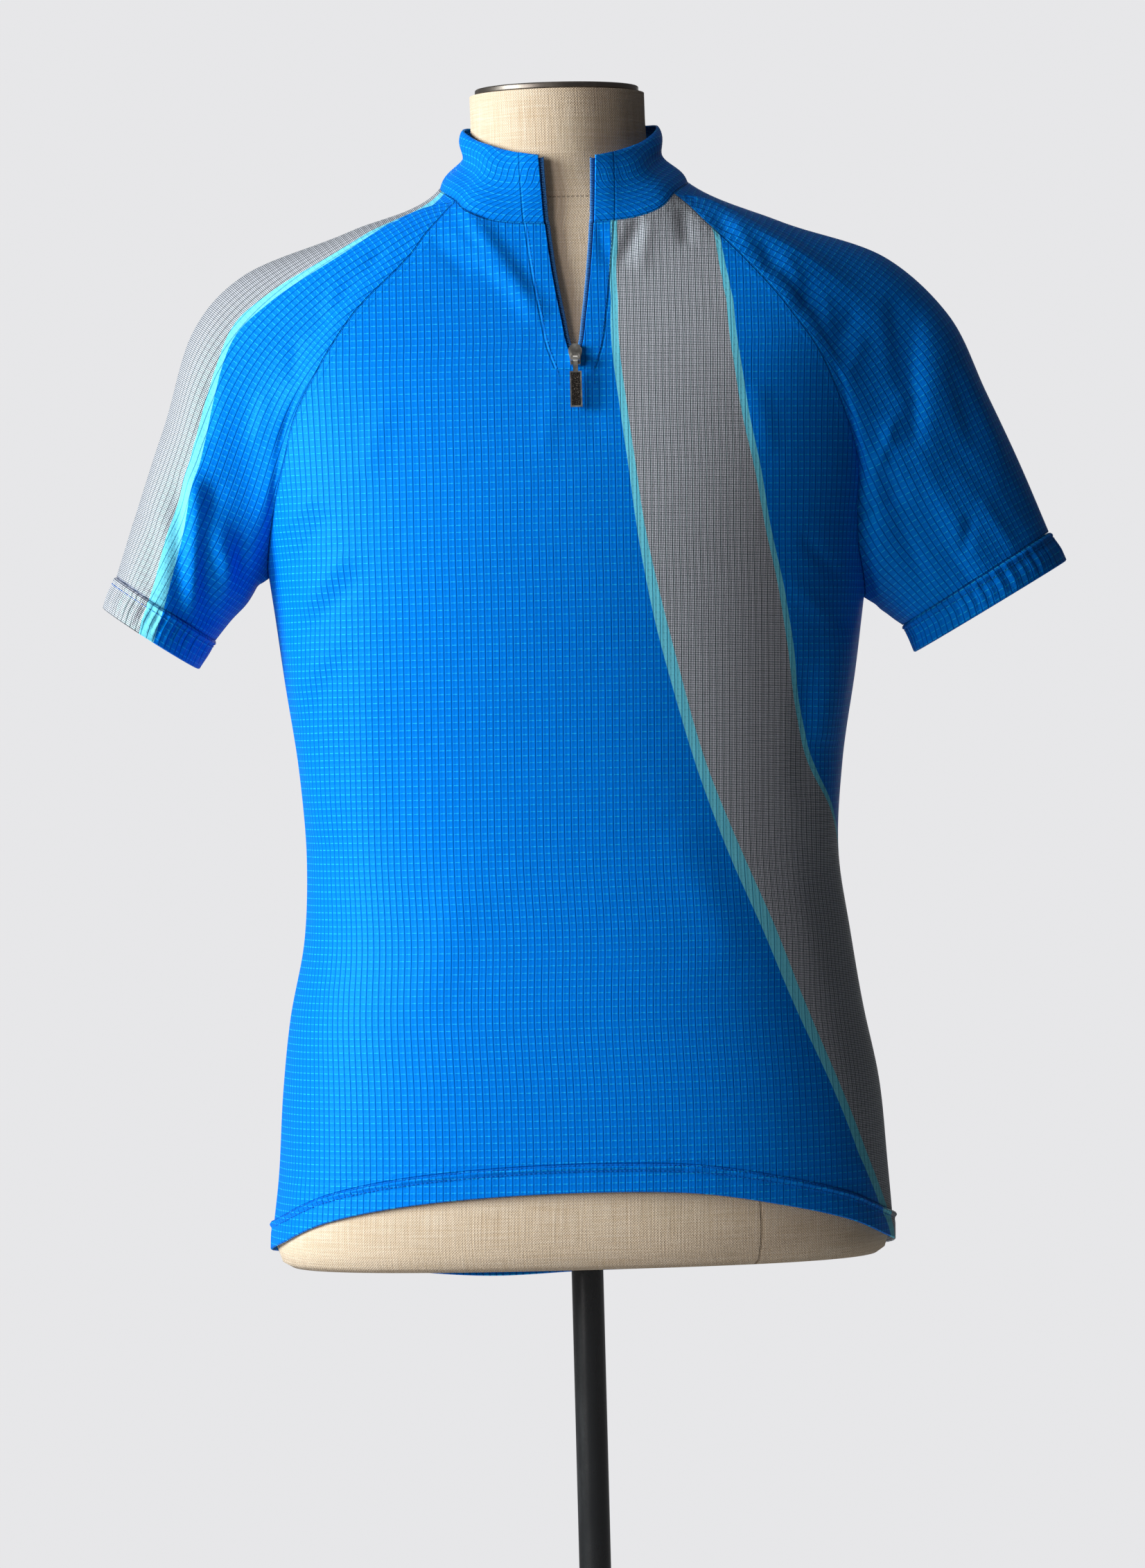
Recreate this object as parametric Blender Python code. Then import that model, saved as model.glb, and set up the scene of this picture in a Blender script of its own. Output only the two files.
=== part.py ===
"""A short-sleeved sports jersey with a stand collar and an open quarter zip, worn by a dress form.

Left and right are the viewer's, facing the front of the jersey.  +Z is up, the front faces -Y,
and the origin is the centre of the base plate's underside.  All sizes are in millimetres, and
place_mesh turns them into metres.  Heights in the tables are measured from LEVEL, the height at
which the photograph's eye level crosses the jersey.
"""
import bmesh
import bpy
import numpy as np
from mathutils import Matrix, Vector

# Sizes of the stand
MM = 0.001
LEVEL = 1140.0            # height of the tables' zero above the floor
PLATE_THICK = 10.0
POLE_RADIUS = 10.2
ROUND_STEPS = 48
FORM_STEPS = 36
FIT_GAP = 0.3             # gap between pieces that touch

# Turned profiles, radius and height: the plate above the floor, the socket above the plate
# and outside the pole, the cap above the form
PLATE_PROFILE = ((189, 0), (190, 1), (190, 7), (189.1, 9.1), (187, 10))
SOCKET_PROFILE = ((17.5, 0), (16.5, 4), (8.5, 7), (8.5, 43.5), (6.5, 45.5))
CAP_PROFILE = ((51.5, 0), (52.5, 1), (52.5, 3), (51.5, 4))

# Sizes of the cloth
WALL = 1.2                # cloth wall
HEM_WALL = 2.0            # doubled cloth of hem and cuffs
HEM_OUT = 0.6             # how far the hem stands out
CUFF_OUT = 0.5
COLLAR_WALL = 1.6
SEAM_GAP = 0.4            # gap between two panels at a seam
HEM_HEIGHT = 17.0
RAGLAN_STEPS = 15         # panel rows along each raglan seam
NECK_STEPS = 6            # steps of a sleeve's short edge at the collar
SIDE_ROWS = 11            # front panel's rows below the armpit
HALF_COLUMNS = 13         # columns in each half of the front panel
BACK_COLUMNS = 16
COLLAR_COLUMNS = 30
COLLAR_ROWS = 4
COLLAR_BULGE = 1.2        # how far the collar bows out between its edges
COLLAR_WAIST = 8.4        # and how far its sides are drawn in
ZIP_FOOT = 206.5          # height at which the zip's opening starts
ZIP_ROWS = 7              # front panel's rows beside the open zip

# Sizes of the zip
TAPE_UNDER = 5.0          # width of tape under the cloth
TAPE_THICK = 0.8
RAIL_WIDTH = 2.6          # coil along the tape's edge
RAIL_THICK = 2.0
RAIL_AWAY = 0.5           # from the cloth's edge to the coil
TAPE_STATIONS = 15
TAPE_FROM = 218.3         # height of the tapes' lower ends
TAPE_SHORT = 1.0          # from the tapes' upper ends to the collar's edge
SLIDER_HEIGHT = 214.8     # height of the slider's middle
SLIDER_THICK = 2.6
SLIDER_AWAY = 0.75        # from the cloth's face to the slider's back
PIN_RADIUS = 0.8
PIN_UP = -4.2             # pin's place below the slider's middle
PIN_OUT = 5.9             # pin's place in front of the cloth
CHEEK_IN = 1.9
CHEEK_OUT = 2.9
PIN_SHORT = 0.3           # from the pin's ends to the cheeks' outer faces
EYE_RADIUS = 2.2
EYE_HOLE = 1.15
NECK_WIDTH = 3.0
NECK_THICK = 1.4
NECK_TOP = 1.6            # from the pin's axis to the neck's upper end
BITE = 0.5                # how far joined solids reach into each other
CUT_PAST = 1.0            # how far cutters reach past the solid
TAB_WIDTH = 7.5
TAB_LENGTH = 23.2
TAB_THICK = 1.6
TAB_RIM = 0.9
TAB_RECESS = 0.4
TAB_DROP = 8.2            # from the pin to the plate's upper end
TAB_LEAN = 7.0            # degrees that the tab leans back from the slider's line

# Right half of the slider's outline from its foot up: across, up
SLIDER_OUTLINE = ((3.1, -7.1), (3.4, -2.1), (4.25, 1.5), (4.25, 3.6), (2.85, 5.9), (1.4, 7.1))

# Outline of a cheek from the pin's axis: towards the cloth, up
CHEEK_OUTLINE = ((-1.5, -0.9), (-1.5, 1.6), (1.95, 4.6), (2.95, 4.6), (2.95, -1.6), (0, -1.6))

# Jersey's body, a ring at each height.  half widths at the sides, depths in front and behind,
# and how much fuller than an ellipse the ring is
RING = ("height", "left", "right", "front", "back", "full")
JERSEY_RINGS = (
    (-400, 203, 198, 109, 127, 0.12),
    (-350, 202, 197, 111, 126, 0.12),
    (-300, 196, 194, 112, 123, 0.12),
    (-248, 192, 190, 110, 117, 0.11),
    (-200, 186, 181, 106, 109, 0.10),
    (-152, 176, 174, 101, 102, 0.10),
    (-104, 173, 168, 99, 99, 0.10),
    (-44, 176, 172, 103, 103, 0.10),
    (16, 184, 182, 111, 110, 0.10),
    (64, 190, 189, 117, 116, 0.10),
    (100, 195, 194, 119, 120, 0.10),
    (140, 202, 202, 116, 122, 0.10),
    (180, 208, 208, 108, 120, 0.10),
    (215, 215, 216, 98, 114, 0.12),
    (240, 222, 226, 88, 107, 0.12),
    (252, 225, 231, 84, 103, 0.12),
    (262, 222, 228, 81, 99, 0.12),
    (272, 208, 216, 78, 94, 0.12),
    (284, 180, 190, 75, 90, 0.12),
    (296, 153, 157, 73, 86, 0.12),
    (308, 120, 126, 70, 81, 0.10),
    (320, 88, 97, 68, 76, 0.06),
    (332, 74, 79, 66, 72, 0.02),
    (346, 69, 73, 64, 69, 0.02),
    (362, 66, 69, 62, 67, 0.02),
)

# Dress form, a ring at each height
FORM_FOOT = -359.0
FORM_TOP = 387.0
FORM_RINGS = (
    (-359, 189, 186, 96, 109, 0.12),
    (-355.5, 195, 191, 102, 117, 0.12),
    (-347, 198, 193.5, 105, 121, 0.12),
    (-300, 193, 191, 108, 119, 0.12),
    (-248, 186, 184, 104, 111, 0.11),
    (-200, 179, 175, 99, 103, 0.10),
    (-152, 166, 164, 93, 95, 0.10),
    (-104, 158, 155, 90, 91, 0.10),
    (-44, 163, 161, 96, 96, 0.10),
    (16, 173, 172, 105, 103, 0.10),
    (64, 181, 180, 111.5, 110, 0.10),
    (100, 187, 186, 113.5, 114, 0.10),
    (140, 193, 193, 110.5, 116, 0.10),
    (180, 199, 199, 102.5, 114, 0.10),
    (215, 206, 208, 92, 108, 0.10),
    (238, 211, 214, 82, 99, 0.08),
    (250, 211, 215, 77.5, 94, 0.06),
    (260, 205, 210, 74.5, 89, 0.05),
    (272, 194, 197, 71.5, 84.5, 0.05),
    (284, 172, 176.5, 69, 80, 0.05),
    (296, 146, 149, 66.5, 77, 0.06),
    (308, 111.8, 119, 64, 74, 0.07),
    (320, 77.5, 86, 61.5, 70, 0.04),
    (332, 62, 64, 59, 65, 0.02),
    (346, 57.5, 58, 57, 60, 0.0),
    (362, 56, 56.5, 56, 57.5, 0.0),
    (387, 56, 56, 56, 57, 0.0),
)

# Raglan seams from the armpit up to the collar: angle from the front, height
EDGE = ("angle", "height")
RAGLAN_FRONT_LEFT = (
    (-90, 82), (-80, 94), (-71, 113), (-66, 127), (-59, 151), (-53.5, 176.5), (-43, 211),
    (-34, 243), (-28.2, 274), (-30.7, 294.7), (-35, 306), (-43.4, 317.6),
)
RAGLAN_BACK_LEFT = (
    (-90, 82), (-99, 91), (-107, 108), (-115, 134), (-126.6, 172), (-140, 218), (-150, 262),
    (-147, 294), (-140.5, 310), (-134, 325), (-133, 342),
)
RAGLAN_FRONT_RIGHT = (
    (90, 60), (80, 72), (71.5, 91), (67, 115), (63, 147), (59, 165), (49, 202), (38.7, 233.5),
    (30.8, 262), (31.8, 288), (35.2, 300), (39.6, 310), (43.9, 318.6),
)
RAGLAN_BACK_RIGHT = (
    (90, 60), (99, 69), (107, 88), (115, 118), (126, 165), (140, 216), (150, 262),
    (147, 294), (140.5, 310), (134, 325), (133, 342),
)

# Collar seam and hem round the body: angle, height
COLLAR_SEAM = (
    (-180, 346), (-133, 342), (-90, 330.5), (-43.4, 317.6), (-12, 301.5), (0, 300),
    (13, 301.5), (43.9, 318.6), (90, 330.5), (133, 342), (180, 346),
)
HEM_EDGE = (
    (-180, -377), (-165, -378.5), (-148, -373), (-130, -363), (-105, -352), (-90, -348),
    (-72, -341), (-51, -326), (-32, -316), (-14, -310.5), (2, -309), (19, -311.5), (37, -321.5),
    (55, -333), (72, -345), (90, -352), (110, -358), (135, -368), (158, -375), (180, -377),
)

# Collar's upper edge round the neck: angle, height
COLLAR_TOP = (
    (-180, 372), (-135, 370), (-90, 366.5), (-50, 354), (-16, 344.5), (22, 343.5),
    (55, 353), (90, 365), (135, 370), (180, 372),
)
COLLAR_TOP_RING = (61.0, 64.0, 65.0, 66.0)    # left, right, front, back

# Points along a line: distance from its start, place
LINE = ("along", "x", "y", "z")

# Zip's opening between the two cloth edges: height, half width, middle
OPENING = ("height", "half", "middle")
ZIP_OPENING = (
    (206.5, 0.0, 7.4), (215.5, 3.2, 7.3), (222, 5.1, 7.2), (240, 8.1, 6.9), (257.5, 10.8, 6.5),
    (301.5, 15.7, 5.9), (344, 18.2, 5.4),
)

# Sleeves, a ring at each row: outer and inner point as the front shows them, depth in front
# and behind, fullness, and the place along the sleeve
SLEEVE = ("outer", "outer_height", "inner", "inner_height", "front", "back", "full", "along")
SLEEVE_LEFT_RINGS = (
    (-206, 275, -200, 77, 58, 64, 0.10, 0.34),
    (-236, 243, -203, 72, 56, 61, 0.08, 0.48),
    (-256, 184, -208, 65, 55, 59, 0.05, 0.64),
    (-275, 130, -218, 55, 55, 59, 0.02, 0.80),
    (-290, 86, -228, 43, 56, 59, 0.0, 0.93),
)
CUFF_LEFT_RINGS = (
    (-290.3, 85, -228.2, 42.6, 57, 60, 0.0, 0.0),
    (-296, 74, -233.5, 34, 58, 60, 0.0, 0.55),
    (-299, 66, -239, 25.5, 57, 59, 0.0, 1.0),
)
SLEEVE_RIGHT_RINGS = (
    (210, 276, 196, 55, 58, 64, 0.10, 0.34),
    (247, 240, 199, 52, 54, 59, 0.08, 0.48),
    (270, 190, 203, 49, 49, 54, 0.05, 0.64),
    (291, 142, 208, 45, 45, 48, 0.02, 0.80),
    (308, 99, 213, 41.5, 41, 43, 0.0, 0.93),
)
CUFF_RIGHT_RINGS = (
    (308.3, 98, 213.2, 41, 41.5, 43.5, 0.0, 0.0),
    (315, 88, 217, 33, 41, 43, 0.0, 0.55),
    (318.5, 80.5, 220, 24.5, 39, 41, 0.0, 1.0),
)
YOKE_ROWS = 5             # rows between the raglan seam and the sleeve's first ring
YOKE_SHARE = 0.45         # place of the ring that lies on the body, on the way to the first ring
SHOULDER_FROM = 265.0     # seam height above which that ring is laid on the shoulder
SHOULDER_BLEND = 30.0     # height over which that begins
HOLD_FROM = 0.075         # share of a raglan seam's rise from which the sleeve starts along the
HOLD_FULL = 0.325         # body, and the share at which it does so fully
SLEEVE_ROWS = 8           # rows below the sleeve's first ring
FRONT_SHARE = 138.0       # degrees of a sleeve's ring that meet the front raglan seam

# Largest folds: from and to as the front shows them, half width, lift (below zero a trough),
# and the side, -1 in front and 1 behind
FOLD = ("x1", "z1", "x2", "z2", "width", "lift", "side")
FOLDS = (
    (-62, 314, -12, 236, 7.5, 3.2, -1),
    (-50, 308, -8, 246, 6.0, -1.6, -1),
    (36, 270, 52, 303, 5.0, -1.8, -1),
    (80, 283, 78, 309, 5.0, -1.5, -1),
    (-212, 70, -238, 150, 9.0, 3.0, -1),
    (-224, 145, -232, 52, 7.0, -3.4, -1),
    (-247, 150, -246, 46, 7.0, -3.2, -1),
    (-236, 156, -238, 58, 6.0, 2.6, -1),
    (212, 252, 216, 186, 7.0, -3.0, -1),
    (226, 258, 232, 196, 7.0, 3.0, -1),
    (214, 160, 268, 66, 8.0, 2.8, -1),
    (232, 170, 292, 96, 8.0, -2.6, -1),
    (202, 140, 228, 60, 7.0, -2.6, -1),
    (174, 44, 158, -34, 11.0, 3.4, -1),
    (-176, 60, -162, -90, 13.0, 2.6, -1),
    (-150, 122, -178, 84, 7.0, -1.6, -1),
    (-138, 96, -172, 58, 7.0, 1.8, -1),
    (-66, 318, -30, 250, 9.0, 2.6, 1),
    (70, 316, 40, 246, 9.0, 2.4, 1),
    (-228, 240, -232, 150, 8.0, -3.0, 1),
    (-250, 160, -248, 60, 8.0, 2.8, 1),
    (228, 240, 240, 160, 8.0, -3.0, 1),
    (240, 150, 262, 66, 8.0, 2.8, 1),
    (-176, 70, -160, -70, 12.0, 2.8, 1),
    (176, 66, 158, -60, 12.0, 3.0, 1),
    (-90, -96, 86, -112, 16.0, 3.0, 1),
)

COLOURS = {
    "blue": (0.006, 0.24, 0.78, 1.0),
    "tape": (0.01, 0.03, 0.10, 1.0),
    "metal": (0.52, 0.50, 0.46, 1.0),
    "linen": (0.72, 0.62, 0.49, 1.0),
    "cap": (0.12, 0.11, 0.11, 1.0),
    "black": (0.012, 0.012, 0.013, 1.0),
}


def smooth(at, table, names, name, key):
    """Value of one named column of a table, read along a smooth curve through its rows."""
    rows = np.array(table, float)
    xs, ys = rows[:, names.index(key)], rows[:, names.index(name)]
    at = np.asarray(at, float)
    slope = np.gradient(ys, xs)
    k = np.clip(np.searchsorted(xs, at) - 1, 0, len(xs) - 2)
    span = xs[k + 1] - xs[k]
    t = np.clip((at - xs[k]) / span, 0.0, 1.0)
    rise = slope[k] * span * t * (1 - t) ** 2 - slope[k + 1] * span * t * t * (1 - t)
    return ys[k] * (1 + 2 * t) * (1 - t) ** 2 + ys[k + 1] * t * t * (3 - 2 * t) + rise


def ring_point(angle, height, rings):
    """Point of a body's ring; the angle runs from the front, positive to the right."""
    sine, cosine = np.sin(angle), np.cos(angle)
    left, right, front, back, full = (
        smooth(height, rings, RING, name, "height") for name in RING[1:])
    half, middle = (left + right) / 2, (right - left) / 2
    depth = np.where(cosine > 0, front, back)
    x = middle + half * sine * (1 + full * cosine ** 2)
    y = -depth * cosine * (1 + full * sine ** 2)
    return np.stack(np.broadcast_arrays(x, y, height), axis=-1)


def jersey(angle, height):
    return ring_point(np.asarray(angle, float), np.asarray(height, float), JERSEY_RINGS)


def jersey_normal(angle, height):
    """Outward direction of the jersey's body."""
    step = 0.004
    round_it = jersey(angle + step, height) - jersey(angle - step, height)
    up = jersey(angle, np.asarray(height) + 1.0) - jersey(angle, np.asarray(height) - 1.0)
    return unit(np.cross(round_it, up))


def unit(vectors):
    return vectors / np.maximum(np.linalg.norm(vectors, axis=-1, keepdims=True), 1e-9)


def angle_at(x, height):
    """Angle of the front point that lies x to the right of the middle, at most 90 degrees."""
    x, height = np.broadcast_arrays(np.asarray(x, float), np.asarray(height, float))
    low, high = np.full(x.shape, -np.pi / 2), np.full(x.shape, np.pi / 2)
    for _ in range(40):
        middle = (low + high) / 2
        short = jersey(middle, height)[..., 0] < x
        low, high = np.where(short, middle, low), np.where(short, high, middle)
    return (low + high) / 2


def even_steps(points, count):
    """Shares of a line's rows at which its length is cut into equal steps."""
    length = np.concatenate([[0], np.cumsum(np.linalg.norm(np.diff(points, axis=0), axis=1))])
    return np.interp(np.linspace(0, length[-1], count + 1), length, np.linspace(0, 1, len(length)))


def jersey_place(points):
    """Angle and height of points that lie on the jersey's body, or close to it."""
    height = points[:, 2]
    left, right, front, back, full = (
        smooth(height, JERSEY_RINGS, RING, name, "height") for name in RING[1:])
    across = (points[:, 0] - (right - left) / 2) / ((left + right) / 2)
    ahead = -points[:, 1] / np.where(points[:, 1] < 0, front, back)
    angle = np.arctan2(across, ahead)
    for _ in range(8):
        sine, cosine = np.sin(angle), np.cos(angle)
        angle = np.arctan2(across / (1 + full * cosine ** 2), ahead / (1 + full * sine ** 2))
    return angle, height


def shoulder_height(points):
    """Height at which the jersey's body has its surface above or below each point."""
    low, high = np.full(len(points), 250.0), np.full(len(points), 345.0)
    for _ in range(30):
        height = (low + high) / 2
        angle, _ = jersey_place(np.column_stack([points[:, :2], height]))
        inside = np.hypot(*points[:, :2].T) < np.hypot(*jersey(angle, height)[:, :2].T)
        low, high = np.where(inside, height, low), np.where(inside, high, height)
    return height


def raglan(table):
    """Angles and heights along a raglan seam, from the armpit to the collar's seam."""
    rows = np.array(table, float)
    points = jersey(np.radians(rows[:, 0]), rows[:, 1])
    length = np.concatenate([[0], np.cumsum(np.linalg.norm(np.diff(points, axis=0), axis=1))])
    named = np.column_stack([length, points])
    fine = np.linspace(0, length[-1], 200)
    curve = np.column_stack([smooth(fine, named, LINE, name, "along") for name in LINE[1:]])
    angle, height = jersey_place(curve)
    at = even_steps(jersey(angle, height), RAGLAN_STEPS) * length[-1]
    angle, height = np.interp(at, fine, angle), np.interp(at, fine, height)
    height[-1] = collar_seam(angle[-1])
    return angle, height


def collar_seam(angle):
    """Height of the collar's seam at an angle."""
    return smooth(np.degrees(wrap(angle)), COLLAR_SEAM, EDGE, "height", "angle")


def hem_edge(angle):
    """Height of the jersey's lower edge at an angle."""
    return smooth(np.degrees(wrap(angle)), HEM_EDGE, EDGE, "height", "angle")


def wrap(angle):
    return (np.asarray(angle, float) + np.pi) % (2 * np.pi) - np.pi


def opening(height, side):
    """Distance from the middle of the cloth's edge beside the zip, side -1 left and 1 right."""
    half = smooth(height, ZIP_OPENING, OPENING, "half", "height")
    return smooth(height, ZIP_OPENING, OPENING, "middle", "height") + side * np.maximum(half, 0)


def patch(bottom, top, left, right):
    """Angles and heights of a panel's points, filled in between its four edges."""
    rows, columns = len(left), len(bottom)
    v = np.linspace(0, 1, rows)[:, None, None]
    u = np.linspace(0, 1, columns)[None, :, None]
    sides = (1 - u) * left[:, None] + u * right[:, None]
    ends = (1 - v) * bottom[None] + v * top[None]
    corners = ((1 - v) * ((1 - u) * bottom[0] + u * bottom[-1])
               + v * ((1 - u) * top[0] + u * top[-1]))
    return sides + ends - corners


def pairs(angle, height):
    return np.stack(np.broadcast_arrays(angle, height), axis=-1)


def fold_lift(points, normals, folds=FOLDS):
    """How far the folds lift the cloth: a soft ridge or trough along each row's line."""
    lift = np.zeros(points.shape[:-1])
    flat = points[..., [0, 2]]
    for x1, z1, x2, z2, width, height, side in folds:
        start, line = np.array([x1, z1], float), np.array([x2 - x1, z2 - z1], float)
        along = np.clip(((flat - start) @ line) / (line @ line), 0, 1)
        away = np.linalg.norm(flat - start - along[..., None] * line, axis=-1) / width
        facing = np.clip(2.5 * side * normals[..., 1], 0, 1)
        lift += height * np.exp(-away ** 2) * (1 - (2 * along - 1) ** 4) * facing
    return lift


def grid_faces(index):
    """Four-sided faces between the rows and columns of a grid of point numbers."""
    a, b, c, d = index[:-1, :-1], index[:-1, 1:], index[1:, 1:], index[1:, :-1]
    return np.stack([a, b, c, d], axis=-1).reshape(-1, 4)


def point_normals(points, faces):
    """Average direction of the faces round each point."""
    corner = points[faces]
    face = np.cross(corner[:, 2] - corner[:, 0], corner[:, 3] - corner[:, 1])
    normals = np.zeros(points.shape)
    for k in range(4):
        np.add.at(normals, faces[:, k], face)
    return unit(normals)


def border_edges(faces):
    """Edges with one face, each with that face's number."""
    edges = {}
    for number, face in enumerate(faces):
        for k in range(4):
            a, b = int(face[k]), int(face[(k + 1) % 4])
            edges.setdefault((min(a, b), max(a, b)), []).append((a, b, number))
    return [found[0] for found in edges.values() if len(found) == 1]


def halved(points, faces):
    """Triangles of four-sided faces, each cut along its shorter diagonal."""
    triangles = []
    for a, b, c, d in faces.tolist():
        if np.linalg.norm(points[a] - points[c]) <= np.linalg.norm(points[b] - points[d]):
            triangles += [[a, b, c], [a, c, d]]
        else:
            triangles += [[a, b, d], [b, c, d]]
    return triangles


def draw_in(points, faces, border, amount):
    """Moves a panel's edge inward, so that it stays clear of its neighbour at the seam."""
    inward = {}
    for a, b, number in border:
        edge = unit(points[b] - points[a])
        into = points[faces[number]].mean(axis=0) - (points[a] + points[b]) / 2
        into = unit(into - (into @ edge) * edge)
        inward.setdefault(a, []).append(into)
        inward.setdefault(b, []).append(into)
    moved = points.copy()
    for point, (first, second) in inward.items():
        moved[point] += amount * (first + second) / max(1 + first @ second, 0.35)
    return moved


def place_mesh(name, points, faces, colour, roughness, metallic=0.0, smooth_angle=40.0,
               turn_outward=True):
    """Object made of points in millimetres."""
    mesh = bpy.data.meshes.new(name)
    build = bmesh.new()
    corners = [build.verts.new(Vector(p) * MM) for p in points]
    for face in faces:
        build.faces.new([corners[i] for i in face])
    if turn_outward:
        bmesh.ops.recalc_face_normals(build, faces=build.faces)
    build.to_mesh(mesh)
    build.free()
    mesh.shade_smooth()
    mesh.set_sharp_from_angle(angle=np.radians(smooth_angle))
    mesh.materials.append(material(colour, roughness, metallic))
    thing = bpy.data.objects.new(name, mesh)
    bpy.context.scene.collection.objects.link(thing)
    return thing


def material(colour, roughness, metallic):
    name = f"{colour} {roughness:.2f}"
    found = bpy.data.materials.get(name)
    if found:
        return found
    made = bpy.data.materials.new(name)
    made.use_nodes = True
    shader = made.node_tree.nodes["Principled BSDF"]
    shader.inputs["Base Color"].default_value = COLOURS[colour]
    shader.inputs["Roughness"].default_value = roughness
    shader.inputs["Metallic"].default_value = metallic
    return made


def cloth(name, points, faces, normals=None, wall=WALL, folds=True, out=0.0):
    """Piece of cloth: an outer skin through the points, an inner skin, and the edges between."""
    points = points + np.array([0, 0, LEVEL])
    if normals is None:
        normals = point_normals(points, faces)
    if np.mean(np.sum(point_normals(points, faces) * normals, axis=1)) < 0:
        faces = faces[:, ::-1]
    if folds:
        local = points - np.array([0, 0, LEVEL])
        points = points + normals * fold_lift(local, normals)[:, None]
    points = points + normals * out
    border = border_edges(faces)
    outer = draw_in(points, faces, border, SEAM_GAP / 2)
    inner = outer - normals * wall
    count = len(points)
    skin = halved(outer, faces)
    lining = [[i + count for i in reversed(face)] for face in skin]
    rim = [[b, a, a + count, b + count] for a, b, _ in border]
    return place_mesh(name, np.vstack([outer, inner]), skin + lining + rim, "blue", 0.6,
                      turn_outward=False)


def front_panel(left_seam, right_seam):
    """Front from hem seam to collar seam, split above the zip's foot."""
    rows = SIDE_ROWS + RAGLAN_STEPS + 1
    foot_row = rows - 1 - ZIP_ROWS
    foot_angle = float(angle_at(opening(ZIP_FOOT, 0), ZIP_FOOT))
    hem = hem_edge(0.0) + HEM_HEIGHT
    halves = []
    for side, seam in ((-1, left_seam), (1, right_seam)):
        low = hem_edge(side * np.pi / 2) + HEM_HEIGHT
        below = np.linspace(low, seam[1][0], SIDE_ROWS + 1)[:-1]
        outer = pairs(np.concatenate([np.full(SIDE_ROWS, side * np.pi / 2), seam[0]]),
                      np.concatenate([below, seam[1]]))
        lower = pairs(np.linspace(0, foot_angle, foot_row + 1),
                      np.linspace(hem, ZIP_FOOT, foot_row + 1))
        up = np.linspace(ZIP_FOOT, ZIP_OPENING[-2][0], ZIP_ROWS + 1)[1:]
        edge = angle_at(opening(up, side), up)
        up[-1] = collar_seam(edge[-1])
        inner = np.vstack([lower, pairs(edge, up)])
        across = np.linspace(0, 1, HALF_COLUMNS + 1)
        bottom_angle = outer[0, 0] * (1 - across) + inner[0, 0] * across
        top_angle = outer[-1, 0] * (1 - across) + inner[-1, 0] * across
        grid = patch(pairs(bottom_angle, hem_edge(bottom_angle) + HEM_HEIGHT),
                     pairs(top_angle, collar_seam(top_angle)), outer, inner)
        halves.append(grid if side < 0 else grid[:, ::-1])
    left, right = halves
    columns = HALF_COLUMNS + 1
    left_index = np.arange(rows * columns).reshape(rows, columns)
    right_index = left_index + rows * columns
    right_index[:foot_row + 1, 0] = left_index[:foot_row + 1, -1]
    faces = np.vstack([grid_faces(left_index), grid_faces(right_index)])
    flat = np.vstack([left.reshape(-1, 2), right.reshape(-1, 2)])
    used, compact = np.unique(faces, return_inverse=True)
    flat, faces = flat[used], compact.reshape(faces.shape)
    normals = jersey_normal(flat[:, 0], flat[:, 1])
    return cloth("front_panel", jersey(flat[:, 0], flat[:, 1]), faces, normals)


def back_panel(left_seam, right_seam):
    """Back from hem seam to collar seam; its angles run on from the right side seam."""
    sides = []
    for side, seam, turn in ((1, right_seam, 0.0), (-1, left_seam, 2 * np.pi)):
        low = hem_edge(side * np.pi / 2) + HEM_HEIGHT
        below = np.linspace(low, seam[1][0], SIDE_ROWS + 1)[:-1]
        angle = np.concatenate([np.full(SIDE_ROWS, side * np.pi / 2), seam[0]]) + turn
        sides.append(pairs(angle, np.concatenate([below, seam[1]])))
    across = np.linspace(0, 1, BACK_COLUMNS + 1)
    low = sides[0][0, 0] * (1 - across) + sides[1][0, 0] * across
    high = sides[0][-1, 0] * (1 - across) + sides[1][-1, 0] * across
    grid = patch(pairs(low, hem_edge(low) + HEM_HEIGHT), pairs(high, collar_seam(high)),
                 sides[0], sides[1])
    rows = len(grid)
    faces = grid_faces(np.arange(rows * (BACK_COLUMNS + 1)).reshape(rows, -1))
    flat = grid.reshape(-1, 2)
    normals = jersey_normal(flat[:, 0], flat[:, 1])
    return cloth("back_panel", jersey(flat[:, 0], flat[:, 1]), faces, normals)


def hem_band(name, start, end, columns):
    """Hem below a panel, doubled cloth that stands out a little."""
    angle = np.linspace(start, end, columns + 1)
    heights = hem_edge(angle)[None] + np.array([0.0, 0.5, 1.0])[:, None] * HEM_HEIGHT
    angles = np.broadcast_to(angle, heights.shape)
    flat = pairs(angles, heights).reshape(-1, 2)
    faces = grid_faces(np.arange(len(flat)).reshape(3, -1))
    normals = jersey_normal(flat[:, 0], flat[:, 1])
    return cloth(name, jersey(flat[:, 0], flat[:, 1]), faces, normals, HEM_WALL, False, HEM_OUT)


def sleeve_ring(row, degrees):
    """Points of one sleeve ring; 0 degrees is the inner point, 90 the front, 180 the outer."""
    value = dict(zip(SLEEVE, row))
    turn = np.radians(degrees)
    sine, cosine = np.sin(turn), np.cos(turn)
    outer = np.array([value["outer"], 0.0, value["outer_height"]])
    inner = np.array([value["inner"], 0.0, value["inner_height"]])
    depth = np.where(sine > 0, value["front"], value["back"])
    reach = (cosine * (1 + value["full"] * sine ** 2))[:, None] * (inner - outer) / 2
    out = (sine * (1 + value["full"] * cosine ** 2) * depth)[:, None] * np.array([0.0, -1.0, 0.0])
    return (inner + outer) / 2 + reach + out


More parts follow.
